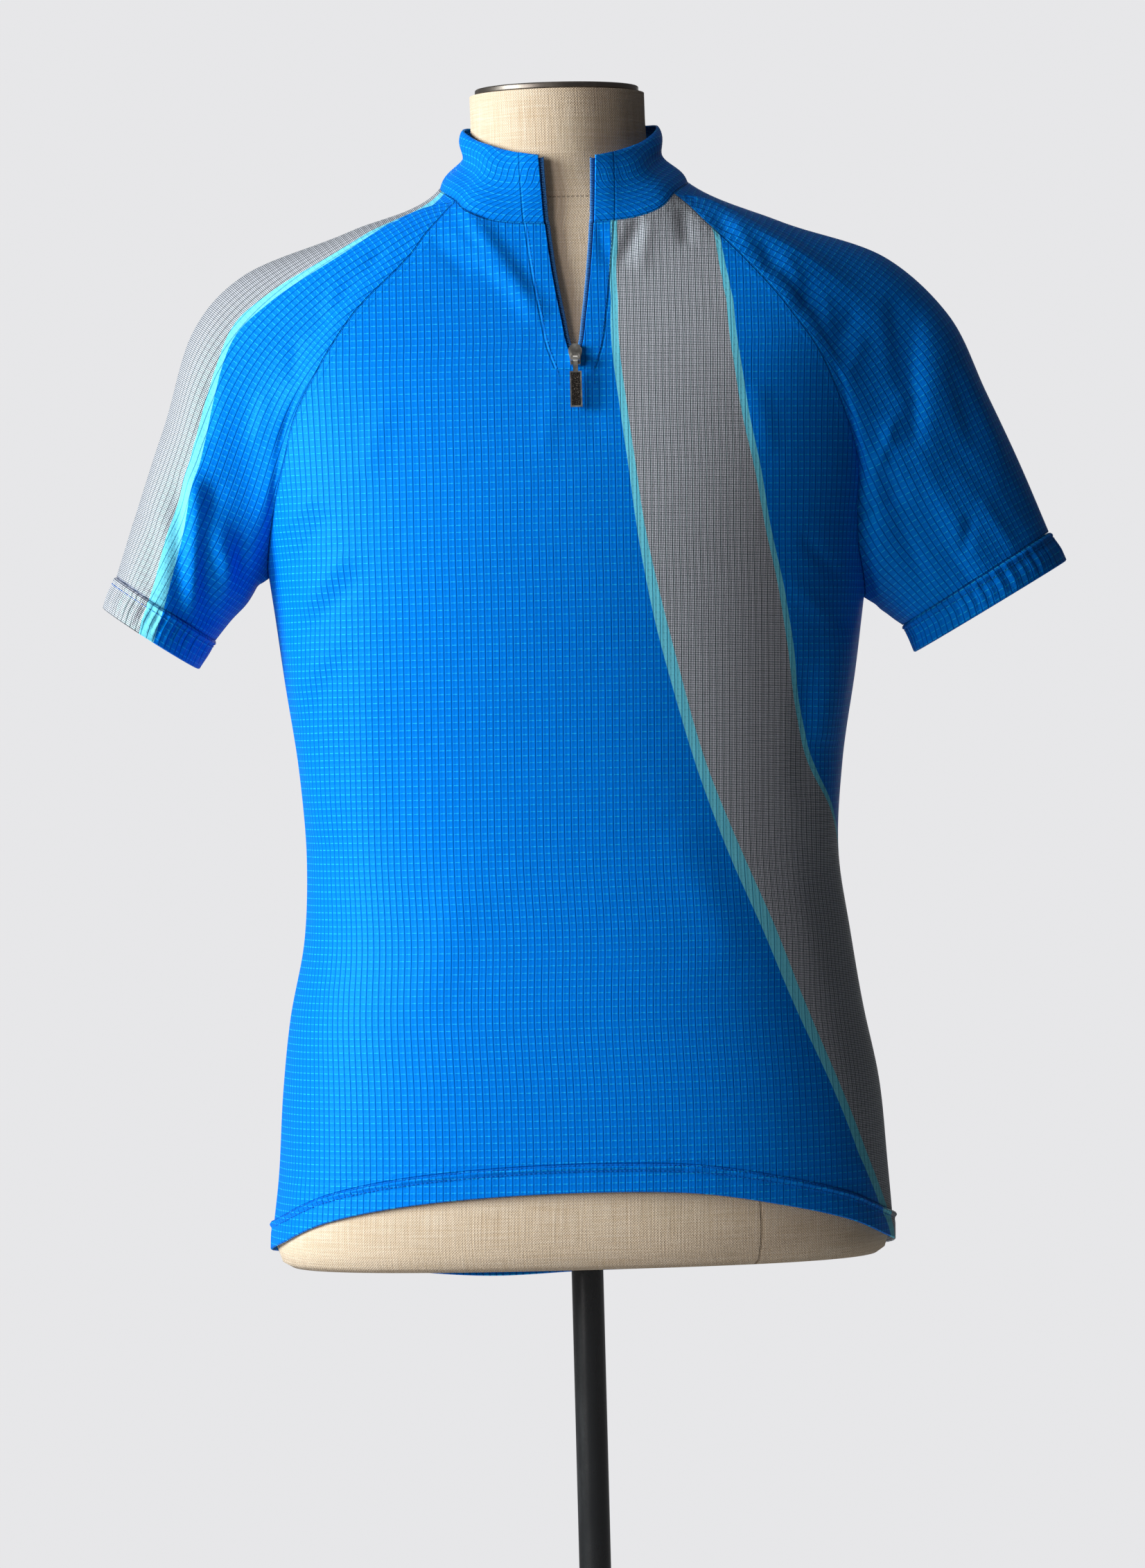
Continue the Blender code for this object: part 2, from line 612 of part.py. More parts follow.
def ring_degrees(front_seam, back_seam):
    """Where a sleeve's lines cross its rings: as high in a ring as on the raglan seams."""
    reach = 1 - np.cos(np.radians(FRONT_SHARE))
    front, back = (
        np.degrees(np.arccos(1 - reach * (height - height[0]) / (height[-1] - height[0])))
        for _, height in (front_seam, back_seam))
    neck = np.linspace(FRONT_SHARE, 360 - FRONT_SHARE, NECK_STEPS + 1)[1:-1]
    return np.concatenate([front, neck, 360 - back[::-1][:-1]])


def sleeve_start(front_seam, back_seam):
    """Angles and heights round a sleeve's upper edge: front seam, collar, back seam."""
    neck_angle = np.linspace(front_seam[0][-1], back_seam[0][-1], NECK_STEPS + 1)[1:-1]
    angle = np.concatenate([front_seam[0], neck_angle, back_seam[0][::-1][:-1]])
    height = np.concatenate([front_seam[1], collar_seam(neck_angle), back_seam[1][::-1][:-1]])
    return angle, height


def sleeve_points(front_seam, back_seam, rings, side, rows):
    """Rows of points from the raglan seam and the collar down to the cuff's seam."""
    angle, height = sleeve_start(front_seam, back_seam)
    start, normal = jersey(angle, height), jersey_normal(angle, height)
    degrees = ring_degrees(front_seam, back_seam)
    tube = [sleeve_ring(row, degrees) for row in rings]
    rise = (height - height.min()) / (height.max() - height.min())
    on_body = np.clip((rise - HOLD_FROM) / (HOLD_FULL - HOLD_FROM), 0, 1)[:, None]
    yoke = start + YOKE_SHARE * (tube[0] - start)
    on_shoulder = np.clip((height - SHOULDER_FROM) / SHOULDER_BLEND, 0, 1)
    yoke[:, 2] += on_shoulder * (shoulder_height(yoke) - yoke[:, 2])
    knots = np.stack([start, yoke] + tube)
    at = np.array([0.0, YOKE_SHARE * rings[0][-1]] + [row[-1] for row in rings])
    at = at / at[-1]
    slopes = np.gradient(knots, at, axis=0)
    seam = unit(np.roll(start, -1, axis=0) - np.roll(start, 1, axis=0))
    leave = unit(np.cross(seam, normal)) * side
    reach = np.linalg.norm(knots[1] - knots[0], axis=-1, keepdims=True)
    straight = (knots[1] - knots[0]) / at[1]
    slopes[0] = straight * (1 - on_body) + leave * reach / at[1] * on_body
    lines = []
    for share in rows:
        k = min(int(np.searchsorted(at, share, side="right")) - 1, len(at) - 2)
        span = at[k + 1] - at[k]
        t = (share - at[k]) / span
        lines.append(knots[k] * (1 + 2 * t) * (1 - t) ** 2 + knots[k + 1] * t * t * (3 - 2 * t)
                     + slopes[k] * span * t * (1 - t) ** 2 - slopes[k + 1] * span * t * t * (1 - t))
    return np.stack(lines), normal


def sleeve(name, front_seam, back_seam, rings, side):
    """Raglan sleeve, a tube from the raglan seam and collar to the cuff's seam."""
    first = rings[0][-1] / rings[-1][-1]
    rows = np.concatenate([np.linspace(0, first, YOKE_ROWS + 1),
                           np.linspace(first, 1, SLEEVE_ROWS + 1)[1:]])
    grid, seam_normal = sleeve_points(front_seam, back_seam, rings, side, rows)
    count = grid.shape[1]
    index = np.arange(grid.shape[0] * count).reshape(-1, count)
    faces = grid_faces(np.hstack([index, index[:, :1]]))
    if side > 0:
        faces = faces[:, ::-1]
    points = grid.reshape(-1, 3)
    normals = point_normals(points, faces)
    close = np.einsum("ij,ij->i", normals[:count], seam_normal) > 0.8
    normals[:count][close] = seam_normal[close]
    return cloth(name, points, faces, normals)


def cuff(name, front_seam, back_seam, rings, side):
    """Cuff band round a sleeve's end, doubled cloth that stands out a little."""
    degrees = ring_degrees(front_seam, back_seam)
    points = np.vstack([sleeve_ring(row, degrees) for row in rings])
    count = len(degrees)
    index = np.arange(len(points)).reshape(-1, count)
    faces = grid_faces(np.hstack([index, index[:, :1]]))
    if side > 0:
        faces = faces[:, ::-1]
    return cloth(name, points, faces, None, HEM_WALL, False, CUFF_OUT)


def collar_top(angle):
    """Point on the collar's upper edge."""
    left, right, front, back = COLLAR_TOP_RING
    half, middle = (left + right) / 2, (right - left) / 2
    height = smooth(np.degrees(wrap(angle)), COLLAR_TOP, EDGE, "height", "angle")
    depth = np.where(np.cos(angle) > 0, front, back)
    return np.stack([middle + half * np.sin(angle), -depth * np.cos(angle), height], axis=-1)


def collar_point(low_angle, high_angle, share):
    """Point of the collar between its seam and its upper edge."""
    share = np.asarray(share, float)[..., None]
    low, high = jersey(low_angle, collar_seam(low_angle)), collar_top(high_angle)
    bow = np.stack([np.sin(low_angle), -np.cos(low_angle), 0 * low_angle], axis=-1)
    rise = 4 * share * (1 - share)
    waist = COLLAR_WAIST * (np.sin(low_angle) ** 2)[..., None]
    return low * (1 - share) + high * share + bow * (COLLAR_BULGE * rise - waist * rise ** 4)


def collar_ends(side):
    """Angles of the collar's front edge at its seam and at its upper edge."""
    low_height, high_height = ZIP_OPENING[-2][0], ZIP_OPENING[-1][0]
    low = angle_at(opening(low_height, side), low_height)
    left, right, _, _ = COLLAR_TOP_RING
    half, middle = (left + right) / 2, (right - left) / 2
    return float(low), float(np.arcsin((opening(high_height, side) - middle) / half))


def collar():
    """Stand collar, one strip round the neck from one side of the zip to the other."""
    left, right = collar_ends(-1), collar_ends(1)
    across = np.linspace(0, 1, COLLAR_COLUMNS + 1)
    low = right[0] * (1 - across) + (left[0] + 2 * np.pi) * across
    high = right[1] * (1 - across) + (left[1] + 2 * np.pi) * across
    share = np.linspace(0, 1, COLLAR_ROWS + 1)[:, None]
    low, high, share = np.broadcast_arrays(low[None], high[None], share)
    points = collar_point(low, high, share).reshape(-1, 3)
    faces = grid_faces(np.arange(len(points)).reshape(COLLAR_ROWS + 1, -1))
    return cloth("collar", points, faces, None, COLLAR_WALL, False)


def zip_edge(height, side):
    """Point and outward direction on the cloth's edge beside the zip, on panel or collar."""
    seam, top = ZIP_OPENING[-2][0], ZIP_OPENING[-1][0]
    if height <= seam:
        angle = angle_at(opening(height, side), height)
        return jersey(angle, height), jersey_normal(angle, height)
    low, high = collar_ends(side)
    share = (height - seam) / (top - seam)
    step = 0.02 * side
    here = collar_point(np.float64(low), np.float64(high), share)
    there = collar_point(np.float64(low + step), np.float64(high + step), share)
    above = collar_point(np.float64(low), np.float64(high), share + 0.02)
    return here, unit(np.cross(there - here, above - here) * side)


def zip_tape(name, side):
    """Zip tape under the cloth's edge, with the coil as a rail along the opening."""
    front = COLLAR_WALL + 2 * FIT_GAP
    back = front + TAPE_THICK
    coil, coil_front = RAIL_AWAY + RAIL_WIDTH, back - RAIL_THICK
    profile = ((-TAPE_UNDER, back), (-TAPE_UNDER, front), (RAIL_AWAY, front),
               (RAIL_AWAY, coil_front), (coil, coil_front), (coil, back))
    heights = np.linspace(TAPE_FROM, ZIP_OPENING[-1][0] - TAPE_SHORT, TAPE_STATIONS)
    edge = [zip_edge(h, side) for h in heights]
    middle = np.array([point for point, _ in edge])
    along = unit(np.gradient(middle, axis=0))
    rings = []
    for point, (_, normal), ahead in zip(middle, edge, along):
        inward = unit(np.cross(normal, ahead)) * side
        rings.append([point + inward * across - normal * depth for across, depth in profile])
    points = np.array(rings).reshape(-1, 3) + np.array([0, 0, LEVEL])
    count = len(profile)
    index = np.arange(len(points)).reshape(-1, count)
    faces = [list(f) for f in grid_faces(np.hstack([index, index[:, :1]]))]
    faces += [list(index[0]), list(index[-1][::-1])]
    return place_mesh(name, points, faces, "tape", 0.5, smooth_angle=50.0)


def slider_frame():
    """Matrix of the slider's own frame: X right, Y into the cloth, Z up along it."""
    angle = angle_at(opening(SLIDER_HEIGHT, 0), SLIDER_HEIGHT)
    point = jersey(angle, SLIDER_HEIGHT) + np.array([0, 0, LEVEL])
    normal = jersey_normal(angle, SLIDER_HEIGHT)
    inward = unit(np.array([0.0, -normal[1], -normal[2]]))
    up = np.cross(np.array([1.0, 0.0, 0.0]), inward)
    frame = Matrix.Identity(4)
    for row in range(3):
        frame[row][0] = (1.0, 0.0, 0.0)[row]
        frame[row][1] = inward[row]
        frame[row][2] = up[row]
        frame[row][3] = point[row] * MM
    return frame


def prism(outline, low, high, axis):
    """Points and faces of an outline drawn out between two places along an axis."""
    order = {"x": (2, 0, 1), "y": (0, 2, 1), "z": (0, 1, 2)}[axis]
    points = []
    for place in (low, high):
        for a, b in outline:
            full = (a, b, place)
            points.append([full[i] for i in order])
    count = len(outline)
    faces = [list(range(count)), list(range(count, 2 * count))[::-1]]
    faces += [[i, (i + 1) % count, (i + 1) % count + count, i + count] for i in range(count)]
    return np.array(points, float), faces


def disc(radius, middle, steps=24):
    turn = np.linspace(0, 2 * np.pi, steps, endpoint=False)
    return [(middle[0] + radius * np.cos(t), middle[1] + radius * np.sin(t)) for t in turn]


def cutter_object(name, points, faces):
    """Guide for a Boolean, left out of the part."""
    guide = place_mesh(name, points, faces, "metal", 0.3)
    guide.hide_render = True
    guide.display_type = "WIRE"
    return guide


def combine(thing, guide, operation):
    step = thing.modifiers.new(operation.lower(), "BOOLEAN")
    step.operation = operation
    step.solver = "EXACT"
    step.object = guide


def zip_slider():
    """Slider at the zip's foot, with two cheeks and the pin that carries the pull tab."""
    outline = list(SLIDER_OUTLINE) + [(-across, up) for across, up in reversed(SLIDER_OUTLINE)]
    body = prism(outline, -SLIDER_AWAY - SLIDER_THICK, -SLIDER_AWAY, "y")
    slider = place_mesh("zip_slider", *body, "metal", 0.3, 1.0, 30.0)
    frame = slider_frame()
    slider.matrix_world = frame
    cheek = [(inward - PIN_OUT, up + PIN_UP) for inward, up in CHEEK_OUTLINE]
    for name, low, high in (("left", -CHEEK_OUT, -CHEEK_IN), ("right", CHEEK_IN, CHEEK_OUT)):
        guide = cutter_object(f"cheek_guide_{name}", *prism(cheek, low, high, "x"))
        guide.matrix_world = frame
        combine(slider, guide, "UNION")
    reach = CHEEK_OUT - PIN_SHORT
    pin = prism(disc(PIN_RADIUS, (-PIN_OUT, PIN_UP), 16), -reach, reach, "x")
    guide = cutter_object("pin_guide", *pin)
    guide.matrix_world = frame
    combine(slider, guide, "UNION")
    return slider


def pull_tab():
    """Pull tab that hangs on the slider's pin; its origin is on the pin's axis."""
    frame = slider_frame()
    pin = frame @ Vector((0.0, -PIN_OUT * MM, PIN_UP * MM))
    turn = Matrix.Rotation(np.radians(TAB_LEAN), 4, "X")
    place = Matrix.Translation(pin) @ frame.to_3x3().to_4x4() @ turn
    half, thick = TAB_WIDTH / 2, TAB_THICK / 2
    low = -TAB_DROP - TAB_LENGTH
    outline = [(-half, low), (half, low), (half, -TAB_DROP), (-half, -TAB_DROP)]
    plate = place_mesh("pull_tab", *prism(outline, -thick, thick, "y"), "metal", 0.35, 1.0, 30.0)
    plate.matrix_world = place
    neck = NECK_WIDTH / 2
    bar = [(-neck, -TAB_DROP - BITE), (neck, -TAB_DROP - BITE), (neck, -NECK_TOP), (-neck, -NECK_TOP)]
    side, foot, head = half - TAB_RIM, low + TAB_RIM, -TAB_DROP - TAB_RIM
    panel = [(-side, foot), (side, foot), (side, head), (-side, head)]
    past = neck + CUT_PAST
    steps = (
        ("neck_guide", prism(bar, -NECK_THICK / 2, NECK_THICK / 2, "y"), "UNION"),
        ("eye_guide", prism(disc(EYE_RADIUS, (0, 0)), -neck, neck, "x"), "UNION"),
        ("hole_guide", prism(disc(EYE_HOLE, (0, 0)), -past, past, "x"), "DIFFERENCE"),
        ("recess_guide", prism(panel, -thick - CUT_PAST, -thick + TAB_RECESS, "y"), "DIFFERENCE"),
    )
    for name, solid, operation in steps:
        guide = cutter_object(name, *solid)
        guide.matrix_world = place
        combine(plate, guide, operation)
    return plate


def turned(name, profile, colour, roughness, metallic=0.0, steps=ROUND_STEPS, closed=False):
    """Solid turned from a profile of (radius, height) points round the pole's axis."""
    turn = np.linspace(0, 2 * np.pi, steps, endpoint=False)
    rings = [[(r * np.cos(t), r * np.sin(t), z) for t in turn] for r, z in profile]
    points = np.array(rings).reshape(-1, 3)
    index = np.arange(len(points)).reshape(-1, steps)
    if closed:
        index = np.vstack([index, index[:1]])
    faces = [list(f) for f in grid_faces(np.hstack([index, index[:, :1]]))]
    if not closed:
        faces += [list(index[0]), list(index[-1])]
    return place_mesh(name, points, faces, colour, roughness, metallic)


def form_body():
    """Linen-covered torso without limbs, from its flat foot to the top of the neck."""
    turn = np.linspace(0, 2 * np.pi, FORM_STEPS, endpoint=False)
    rings = [ring_point(turn, np.full(FORM_STEPS, float(row[0])), FORM_RINGS) for row in FORM_RINGS]
    points = np.vstack(rings) + np.array([0, 0, LEVEL])
    index = np.arange(len(points)).reshape(-1, FORM_STEPS)
    faces = [list(f) for f in grid_faces(np.hstack([index, index[:, :1]]))]
    faces += [list(index[0]), list(index[-1])]
    return place_mesh("form_body", points, faces, "linen", 0.9)


def stand():
    """Base plate, pole socket, pole and the form's neck cap."""
    turned("base_plate", PLATE_PROFILE, "black", 0.35)
    low, bore = PLATE_THICK + FIT_GAP, POLE_RADIUS + FIT_GAP
    socket = [(bore + wide, low + up) for wide, up in SOCKET_PROFILE]
    socket = [(bore, low)] + socket + [(bore, socket[-1][1])]
    turned("pole_socket", socket, "black", 0.35, closed=True)
    turned("pole", [(POLE_RADIUS, low), (POLE_RADIUS, LEVEL + FORM_FOOT - FIT_GAP)], "black", 0.25,
           steps=32)
    cap_foot = LEVEL + FORM_TOP + FIT_GAP
    turned("neck_cap", [(wide, cap_foot + up) for wide, up in CAP_PROFILE], "cap", 0.35, 1.0)


def main():
    for thing in list(bpy.data.objects):
        bpy.data.objects.remove(thing, do_unlink=True)
    front_left, back_left = raglan(RAGLAN_FRONT_LEFT), raglan(RAGLAN_BACK_LEFT)
    front_right, back_right = raglan(RAGLAN_FRONT_RIGHT), raglan(RAGLAN_BACK_RIGHT)
    front_panel(front_left, front_right)
    back_panel(back_left, back_right)
    hem_band("hem_front", -np.pi / 2, np.pi / 2, 2 * HALF_COLUMNS)
    hem_band("hem_back", np.pi / 2, 3 * np.pi / 2, BACK_COLUMNS)
    sleeve("sleeve_left", front_left, back_left, SLEEVE_LEFT_RINGS, -1)
    sleeve("sleeve_right", front_right, back_right, SLEEVE_RIGHT_RINGS, 1)
    cuff("cuff_left", front_left, back_left, CUFF_LEFT_RINGS, -1)
    cuff("cuff_right", front_right, back_right, CUFF_RIGHT_RINGS, 1)
    collar()
    zip_tape("zip_tape_left", -1)
    zip_tape("zip_tape_right", 1)
    zip_slider()
    pull_tab()
    form_body()
    stand()


main()
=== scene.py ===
"""Looks of the short-sleeved sports jersey on its dress form.

The cloth repeats the part's formulas on a finer grid, so that each shell lies on its solid, and
adds creases, seams, stitching and the knit.  Left and right are the viewer's.  Sizes are in
millimetres until a mesh is made and in metres in the materials, and heights are measured from
LEVEL.
"""

import bpy
import numpy as np
from mathutils import Matrix, Vector


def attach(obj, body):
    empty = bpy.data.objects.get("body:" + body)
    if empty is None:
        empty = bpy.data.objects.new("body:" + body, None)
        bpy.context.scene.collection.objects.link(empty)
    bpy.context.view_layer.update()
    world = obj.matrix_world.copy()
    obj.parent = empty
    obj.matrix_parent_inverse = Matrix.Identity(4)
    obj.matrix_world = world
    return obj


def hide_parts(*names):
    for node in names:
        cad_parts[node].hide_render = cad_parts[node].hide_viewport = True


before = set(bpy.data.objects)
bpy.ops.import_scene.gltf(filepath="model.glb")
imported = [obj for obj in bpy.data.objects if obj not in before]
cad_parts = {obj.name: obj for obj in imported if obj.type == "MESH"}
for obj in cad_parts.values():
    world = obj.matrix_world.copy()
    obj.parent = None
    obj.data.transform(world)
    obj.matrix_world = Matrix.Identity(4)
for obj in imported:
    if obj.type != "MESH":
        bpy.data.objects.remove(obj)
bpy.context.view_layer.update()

MM = 0.001
LEVEL = 1140.0
TO_LEVEL = np.array([0.0, 0.0, LEVEL])
LEFT, RIGHT = -1, 1
SIDES = ((LEFT, "left"), (RIGHT, "right"))
FAR = 60.0                # stands for far away from a seam, a zip or the colour band
MAIN_BODY = "jersey_and_form"

# Camera and picture
CAMERA_AWAY = 4.5         # metres
CAMERA_LEAN = -1.5        # degrees
PICTURE_SCALE = 2250.0    # picture rows a metre at the jersey
PICTURE_ROWS = 2263
LEVEL_ROW = 1008          # row at the camera's height
SENSOR = 36.0

# Cloth
WALL = 0.9                # thickness of the shells
HEM_WALL = 1.8
COLLAR_WALL = 1.5
SEAM_GAP = 0.24
EDGE_ROUND = 0.35         # how far a shell's rim bulges, as a share of its thickness
CORNER_LIMIT = 0.35
HEM_HEIGHT = 17.0
HEM_OUT = 0.6
HEM_COLUMNS = 160
CUFF_OUT = 0.5
RAGLAN_STEPS = 90
NECK_STEPS = 30
SIDE_ROWS = 72
HALF_COLUMNS = 52
BACK_COLUMNS = 96
COLLAR_COLUMNS = 150
COLLAR_ROWS = 22
COLLAR_BULGE = 1.2
COLLAR_WAIST = 8.4
# Collar's upper edge: half width, how far its middle lies to the right, depth in front and behind
TOP_HALF, TOP_MIDDLE, TOP_FRONT, TOP_BACK = 62.5, 1.5, 65.0, 66.0
STRAIGHT_ABOVE = 225.0    # height from which the front's grid runs straight up
SHOULDER_SEARCH = (250.0, 345.0)
SHOULDER_FROM = 265.0
SHOULDER_BLEND = 30.0
YOKE_ROWS = 34
YOKE_SHARE = 0.45
HOLD_FROM, HOLD_FULL = 0.075, 0.325
SLEEVE_ROWS = 56
FRONT_SHARE = 138.0

# Zip
ZIP_FOOT = 206.5
ZIP_ROWS = 42
PLACKET_RISE, PLACKET_EDGE, PLACKET_WIDTH = 0.55, 0.55, 12.6
TAPE_FROM = 218.3
TAPE_SHORT = 1.0
TAPE_STEPS = 60
TAPE_FRONT, TAPE_BACK = 2.2, 3.0      # depths below the cloth's face
TAPE_PROFILE = ((-5.0, TAPE_BACK), (-5.0, TAPE_FRONT + 0.1), (-4.8, TAPE_FRONT),
                (2.2, TAPE_FRONT), (2.2, TAPE_BACK))
COIL_PITCH = 1.1
COIL_IN, COIL_DEEP = 1.85, 1.95       # place of the coil's axis beside the cloth's edge
COIL_WIDE, COIL_HIGH, COIL_THREAD = 1.15, 0.62, 0.33
COIL_STEPS = 12
SLIDER_HEIGHT = 214.8
PIN_UP = -4.2
PIN_OUT = 5.9
TAB_LEAN = 7.0
INLAY_HALF, INLAY_FOOT, INLAY_HEAD = 2.80, -30.45, -9.15      # measured from the pin
INLAY_FRONT, INLAY_BACK = -0.62, -0.42

# Stitching: names, share of the hem's height, and how far the thread stands off
HEM_STITCHES = (("hem_stitches_low", 0.76, 0.70), ("hem_stitches_high", 0.985, 0.85))
PLACKET_STITCHES_FROM = 196.0
PLACKET_STITCHES_AWAY = 11.3
CUFF_STITCHES_AT = 0.2
CUFF_STITCHES_OUT = 0.75

# Form and stand
FORM_FOOT = -359.0
FORM_COLUMNS = 216
FORM_ROW = 5.0
FORM_RADIUS = 150         # mean radius, which turns angles into distances from a seam
FORM_SEAMS = (19, 56, -56, 87, -87)     # columns of the form's grid, from the front
JOINT = 0.3               # gap between the pieces of the stand
POLE_RADIUS = 10.2
CAP_RADIUS, CAP_THICK, CAP_EDGE = 52.5, 4.0, 1.0
PLATE_RADIUS, PLATE_EDGE = 190.0, 2.4
PLATE_HEIGHT = 10.0
SOCKET_PROFILE = (
    (10.5, 10.3), (27.0, 10.3), (28.0, 11.0), (27.6, 12.6), (25.0, 14.4), (21.0, 15.6),
    (19.2, 18.0), (19.0, 22.0), (19.0, 53.4), (18.4, 55.0), (17.0, 55.8), (10.5, 55.8),
)
FLOOR_RINGS = (0.01, 900, 2000, 3000, 4200)
FLOOR_DROP = 0.6

# Patterns in the materials, in metres
GRID_PITCH = 0.0044
DOT_TURN = 2 * np.pi * 4 / GRID_PITCH
FOLD_LINE = 0.0128        # from the zip
THREAD_PITCH = 0.00085
NECK_STITCH = 0.6765      # above the form's foot
DASH_PITCH = 0.0030

# Sheets: piece, flat width and length, area where it isn't their product, what it lies on
SHEETS = (
    ("front_cloth", (0.50, 0.66), 0.235, ["form_linen"]),
    ("back_cloth", (0.50, 0.73), 0.275, ["form_linen"]),
    ("sleeve_left_cloth", (0.42, 0.36), 0.085, ["form_linen"]),
    ("sleeve_right_cloth", (0.40, 0.37), 0.080, ["form_linen"]),
    ("hem_front_cloth", (0.56, 0.018), None, ["front_cloth"]),
    ("hem_back_cloth", (0.60, 0.018), None, ["back_cloth"]),
    ("cuff_left_cloth", (0.30, 0.02), None, ["sleeve_left_cloth"]),
    ("cuff_right_cloth", (0.28, 0.02), None, ["sleeve_right_cloth"]),
    ("collar_cloth", (0.42, 0.05), None, ["front_cloth", "back_cloth"]),
)

# Light from the surround, as cloth, gloss and camera see it
FILL_LEVEL, GLOSS_LEVEL, SEEN_LEVEL = 0.022, 0.16, 0.835
# Lamps: name, place, aim, width, height, watts, colour
LAMPS = (
    ("key", (-2.2, -0.86, 1.75), (0.0, 0.0, 1.2), 0.8, 1.2, 106.0, (0.93, 1.0, 0.99)),
    ("front", (-2.7, -3.1, 1.7), (0.0, 0.0, 1.05), 1.2, 1.2, 62.0, (1.0, 0.96, 0.95)),
    ("top", (0.2, -0.5, 3.4), (0.0, 0.0, 1.4), 1.4, 1.4, 6.0, (1.0, 1.0, 1.0)),
    ("behind", (-0.1, 4.2, 2.0), (0.0, 0.0, 1.1), 1.2, 1.2, 11.0, (1.0, 1.0, 1.0)),
    ("behind_right", (0.9, 3.9, 1.3), (0.0, 0.0, 1.1), 1.0, 1.2, 6.0, (1.0, 1.0, 1.0)),
)

# Rings of the worn jersey and of the form: height, reach to the left, right, front and back,
# and how full the corners are
JERSEY_RINGS = (
    (-400, 203, 198, 109, 127, 0.12), (-350, 202, 197, 111, 126, 0.12),
    (-300, 196, 194, 112, 123, 0.12), (-248, 192, 190, 110, 117, 0.11),
    (-200, 186, 181, 106, 109, 0.1), (-152, 176, 174, 101, 102, 0.1),
    (-104, 173, 168, 99, 99, 0.1), (-44, 176, 172, 103, 103, 0.1), (16, 184, 182, 111, 110, 0.1),
    (64, 190, 189, 117, 116, 0.1), (100, 195, 194, 119, 120, 0.1), (140, 202, 202, 116, 122, 0.1),
    (180, 208, 208, 108, 120, 0.1), (215, 215, 216, 98, 114, 0.12), (240, 222, 226, 88, 107, 0.12),
    (252, 225, 231, 84, 103, 0.12), (262, 222, 228, 81, 99, 0.12), (272, 208, 216, 78, 94, 0.12),
    (284, 180, 190, 75, 90, 0.12), (296, 153, 157, 73, 86, 0.12), (308, 120, 126, 70, 81, 0.1),
    (320, 88, 97, 68, 76, 0.06), (332, 74, 79, 66, 72, 0.02), (346, 69, 73, 64, 69, 0.02),
    (362, 66, 69, 62, 67, 0.02),
)
FORM_RINGS = (
    (-359, 189, 186, 96, 109, 0.12), (-355.5, 195, 191, 102, 117, 0.12),
    (-347, 198, 193.5, 105, 121, 0.12), (-300, 193, 191, 108, 119, 0.12),
    (-248, 186, 184, 104, 111, 0.11), (-200, 179, 175, 99, 103, 0.1),
    (-152, 166, 164, 93, 95, 0.1), (-104, 158, 155, 90, 91, 0.1), (-44, 163, 161, 96, 96, 0.1),
    (16, 173, 172, 105, 103, 0.1), (64, 181, 180, 111.5, 110, 0.1),
    (100, 187, 186, 113.5, 114, 0.1), (140, 193, 193, 110.5, 116, 0.1),
    (180, 199, 199, 102.5, 114, 0.1), (215, 206, 208, 92, 108, 0.1), (238, 211, 214, 82, 99, 0.08),
    (250, 211, 215, 77.5, 94, 0.06), (260, 205, 210, 74.5, 89, 0.05),
    (272, 194, 197, 71.5, 84.5, 0.05), (284, 172, 176.5, 69, 80, 0.05),
    (296, 146, 149, 66.5, 77, 0.06), (308, 111.8, 119, 64, 74, 0.07),
    (320, 77.5, 86, 61.5, 70, 0.04), (332, 62, 64, 59, 65, 0.02), (346, 57.5, 58, 57, 60, 0),
    (362, 56, 56.5, 56, 57.5, 0), (387, 56, 56, 56, 57, 0),
)

# Raglan seams, from the armpit to the collar: angle and height
RAGLAN_FRONT = {
    LEFT: (
        (-90, 82), (-80, 94), (-71, 113), (-66, 127), (-59, 151), (-53.5, 176.5), (-43, 211),
        (-34, 243), (-28.2, 274), (-30.7, 294.7), (-35, 306), (-43.4, 317.6),
    ),
    RIGHT: (
        (90, 60), (80, 72), (71.5, 91), (67, 115), (63, 147), (59, 165), (49, 202), (38.7, 233.5),
        (30.8, 262), (31.8, 288), (35.2, 300), (39.6, 310), (43.9, 318.6),
    ),
}
RAGLAN_BACK = {
    LEFT: (
        (-90, 82), (-99, 91), (-107, 108), (-115, 134), (-126.6, 172), (-140, 218), (-150, 262),
        (-147, 294), (-140.5, 310), (-134, 325), (-133, 342),
    ),
    RIGHT: (
        (90, 60), (99, 69), (107, 88), (115, 118), (126, 165), (140, 216), (150, 262), (147, 294),
        (140.5, 310), (134, 325), (133, 342),
    ),
}
# Edges that run round the body: angle and height
COLLAR_SEAM = (
    (-180, 346), (-133, 342), (-90, 330.5), (-43.4, 317.6), (-12, 301.5), (0, 300), (13, 301.5),
    (43.9, 318.6), (90, 330.5), (133, 342), (180, 346),
)
HEM_EDGE = (
    (-180, -377), (-165, -378.5), (-148, -373), (-130, -363), (-105, -352), (-90, -348),
    (-72, -341), (-51, -326), (-32, -316), (-14, -310.5), (2, -309), (19, -311.5), (37, -321.5),
    (55, -333), (72, -345), (90, -352), (110, -358), (135, -368), (158, -375), (180, -377),
)
COLLAR_TOP = (
    (-180, 372), (-135, 370), (-90, 366.5), (-50, 354), (-16, 344.5), (22, 343.5), (55, 353),
    (90, 365), (135, 370), (180, 372),
)
# Zip opening: height, half width, and how far its middle lies to the right
ZIP_OPENING = (
    (206.5, 0, 7.4), (215.5, 3.2, 7.3), (222, 5.1, 7.2), (240, 8.1, 6.9), (257.5, 10.8, 6.5),
    (301.5, 15.7, 5.9), (344, 18.2, 5.4),
)
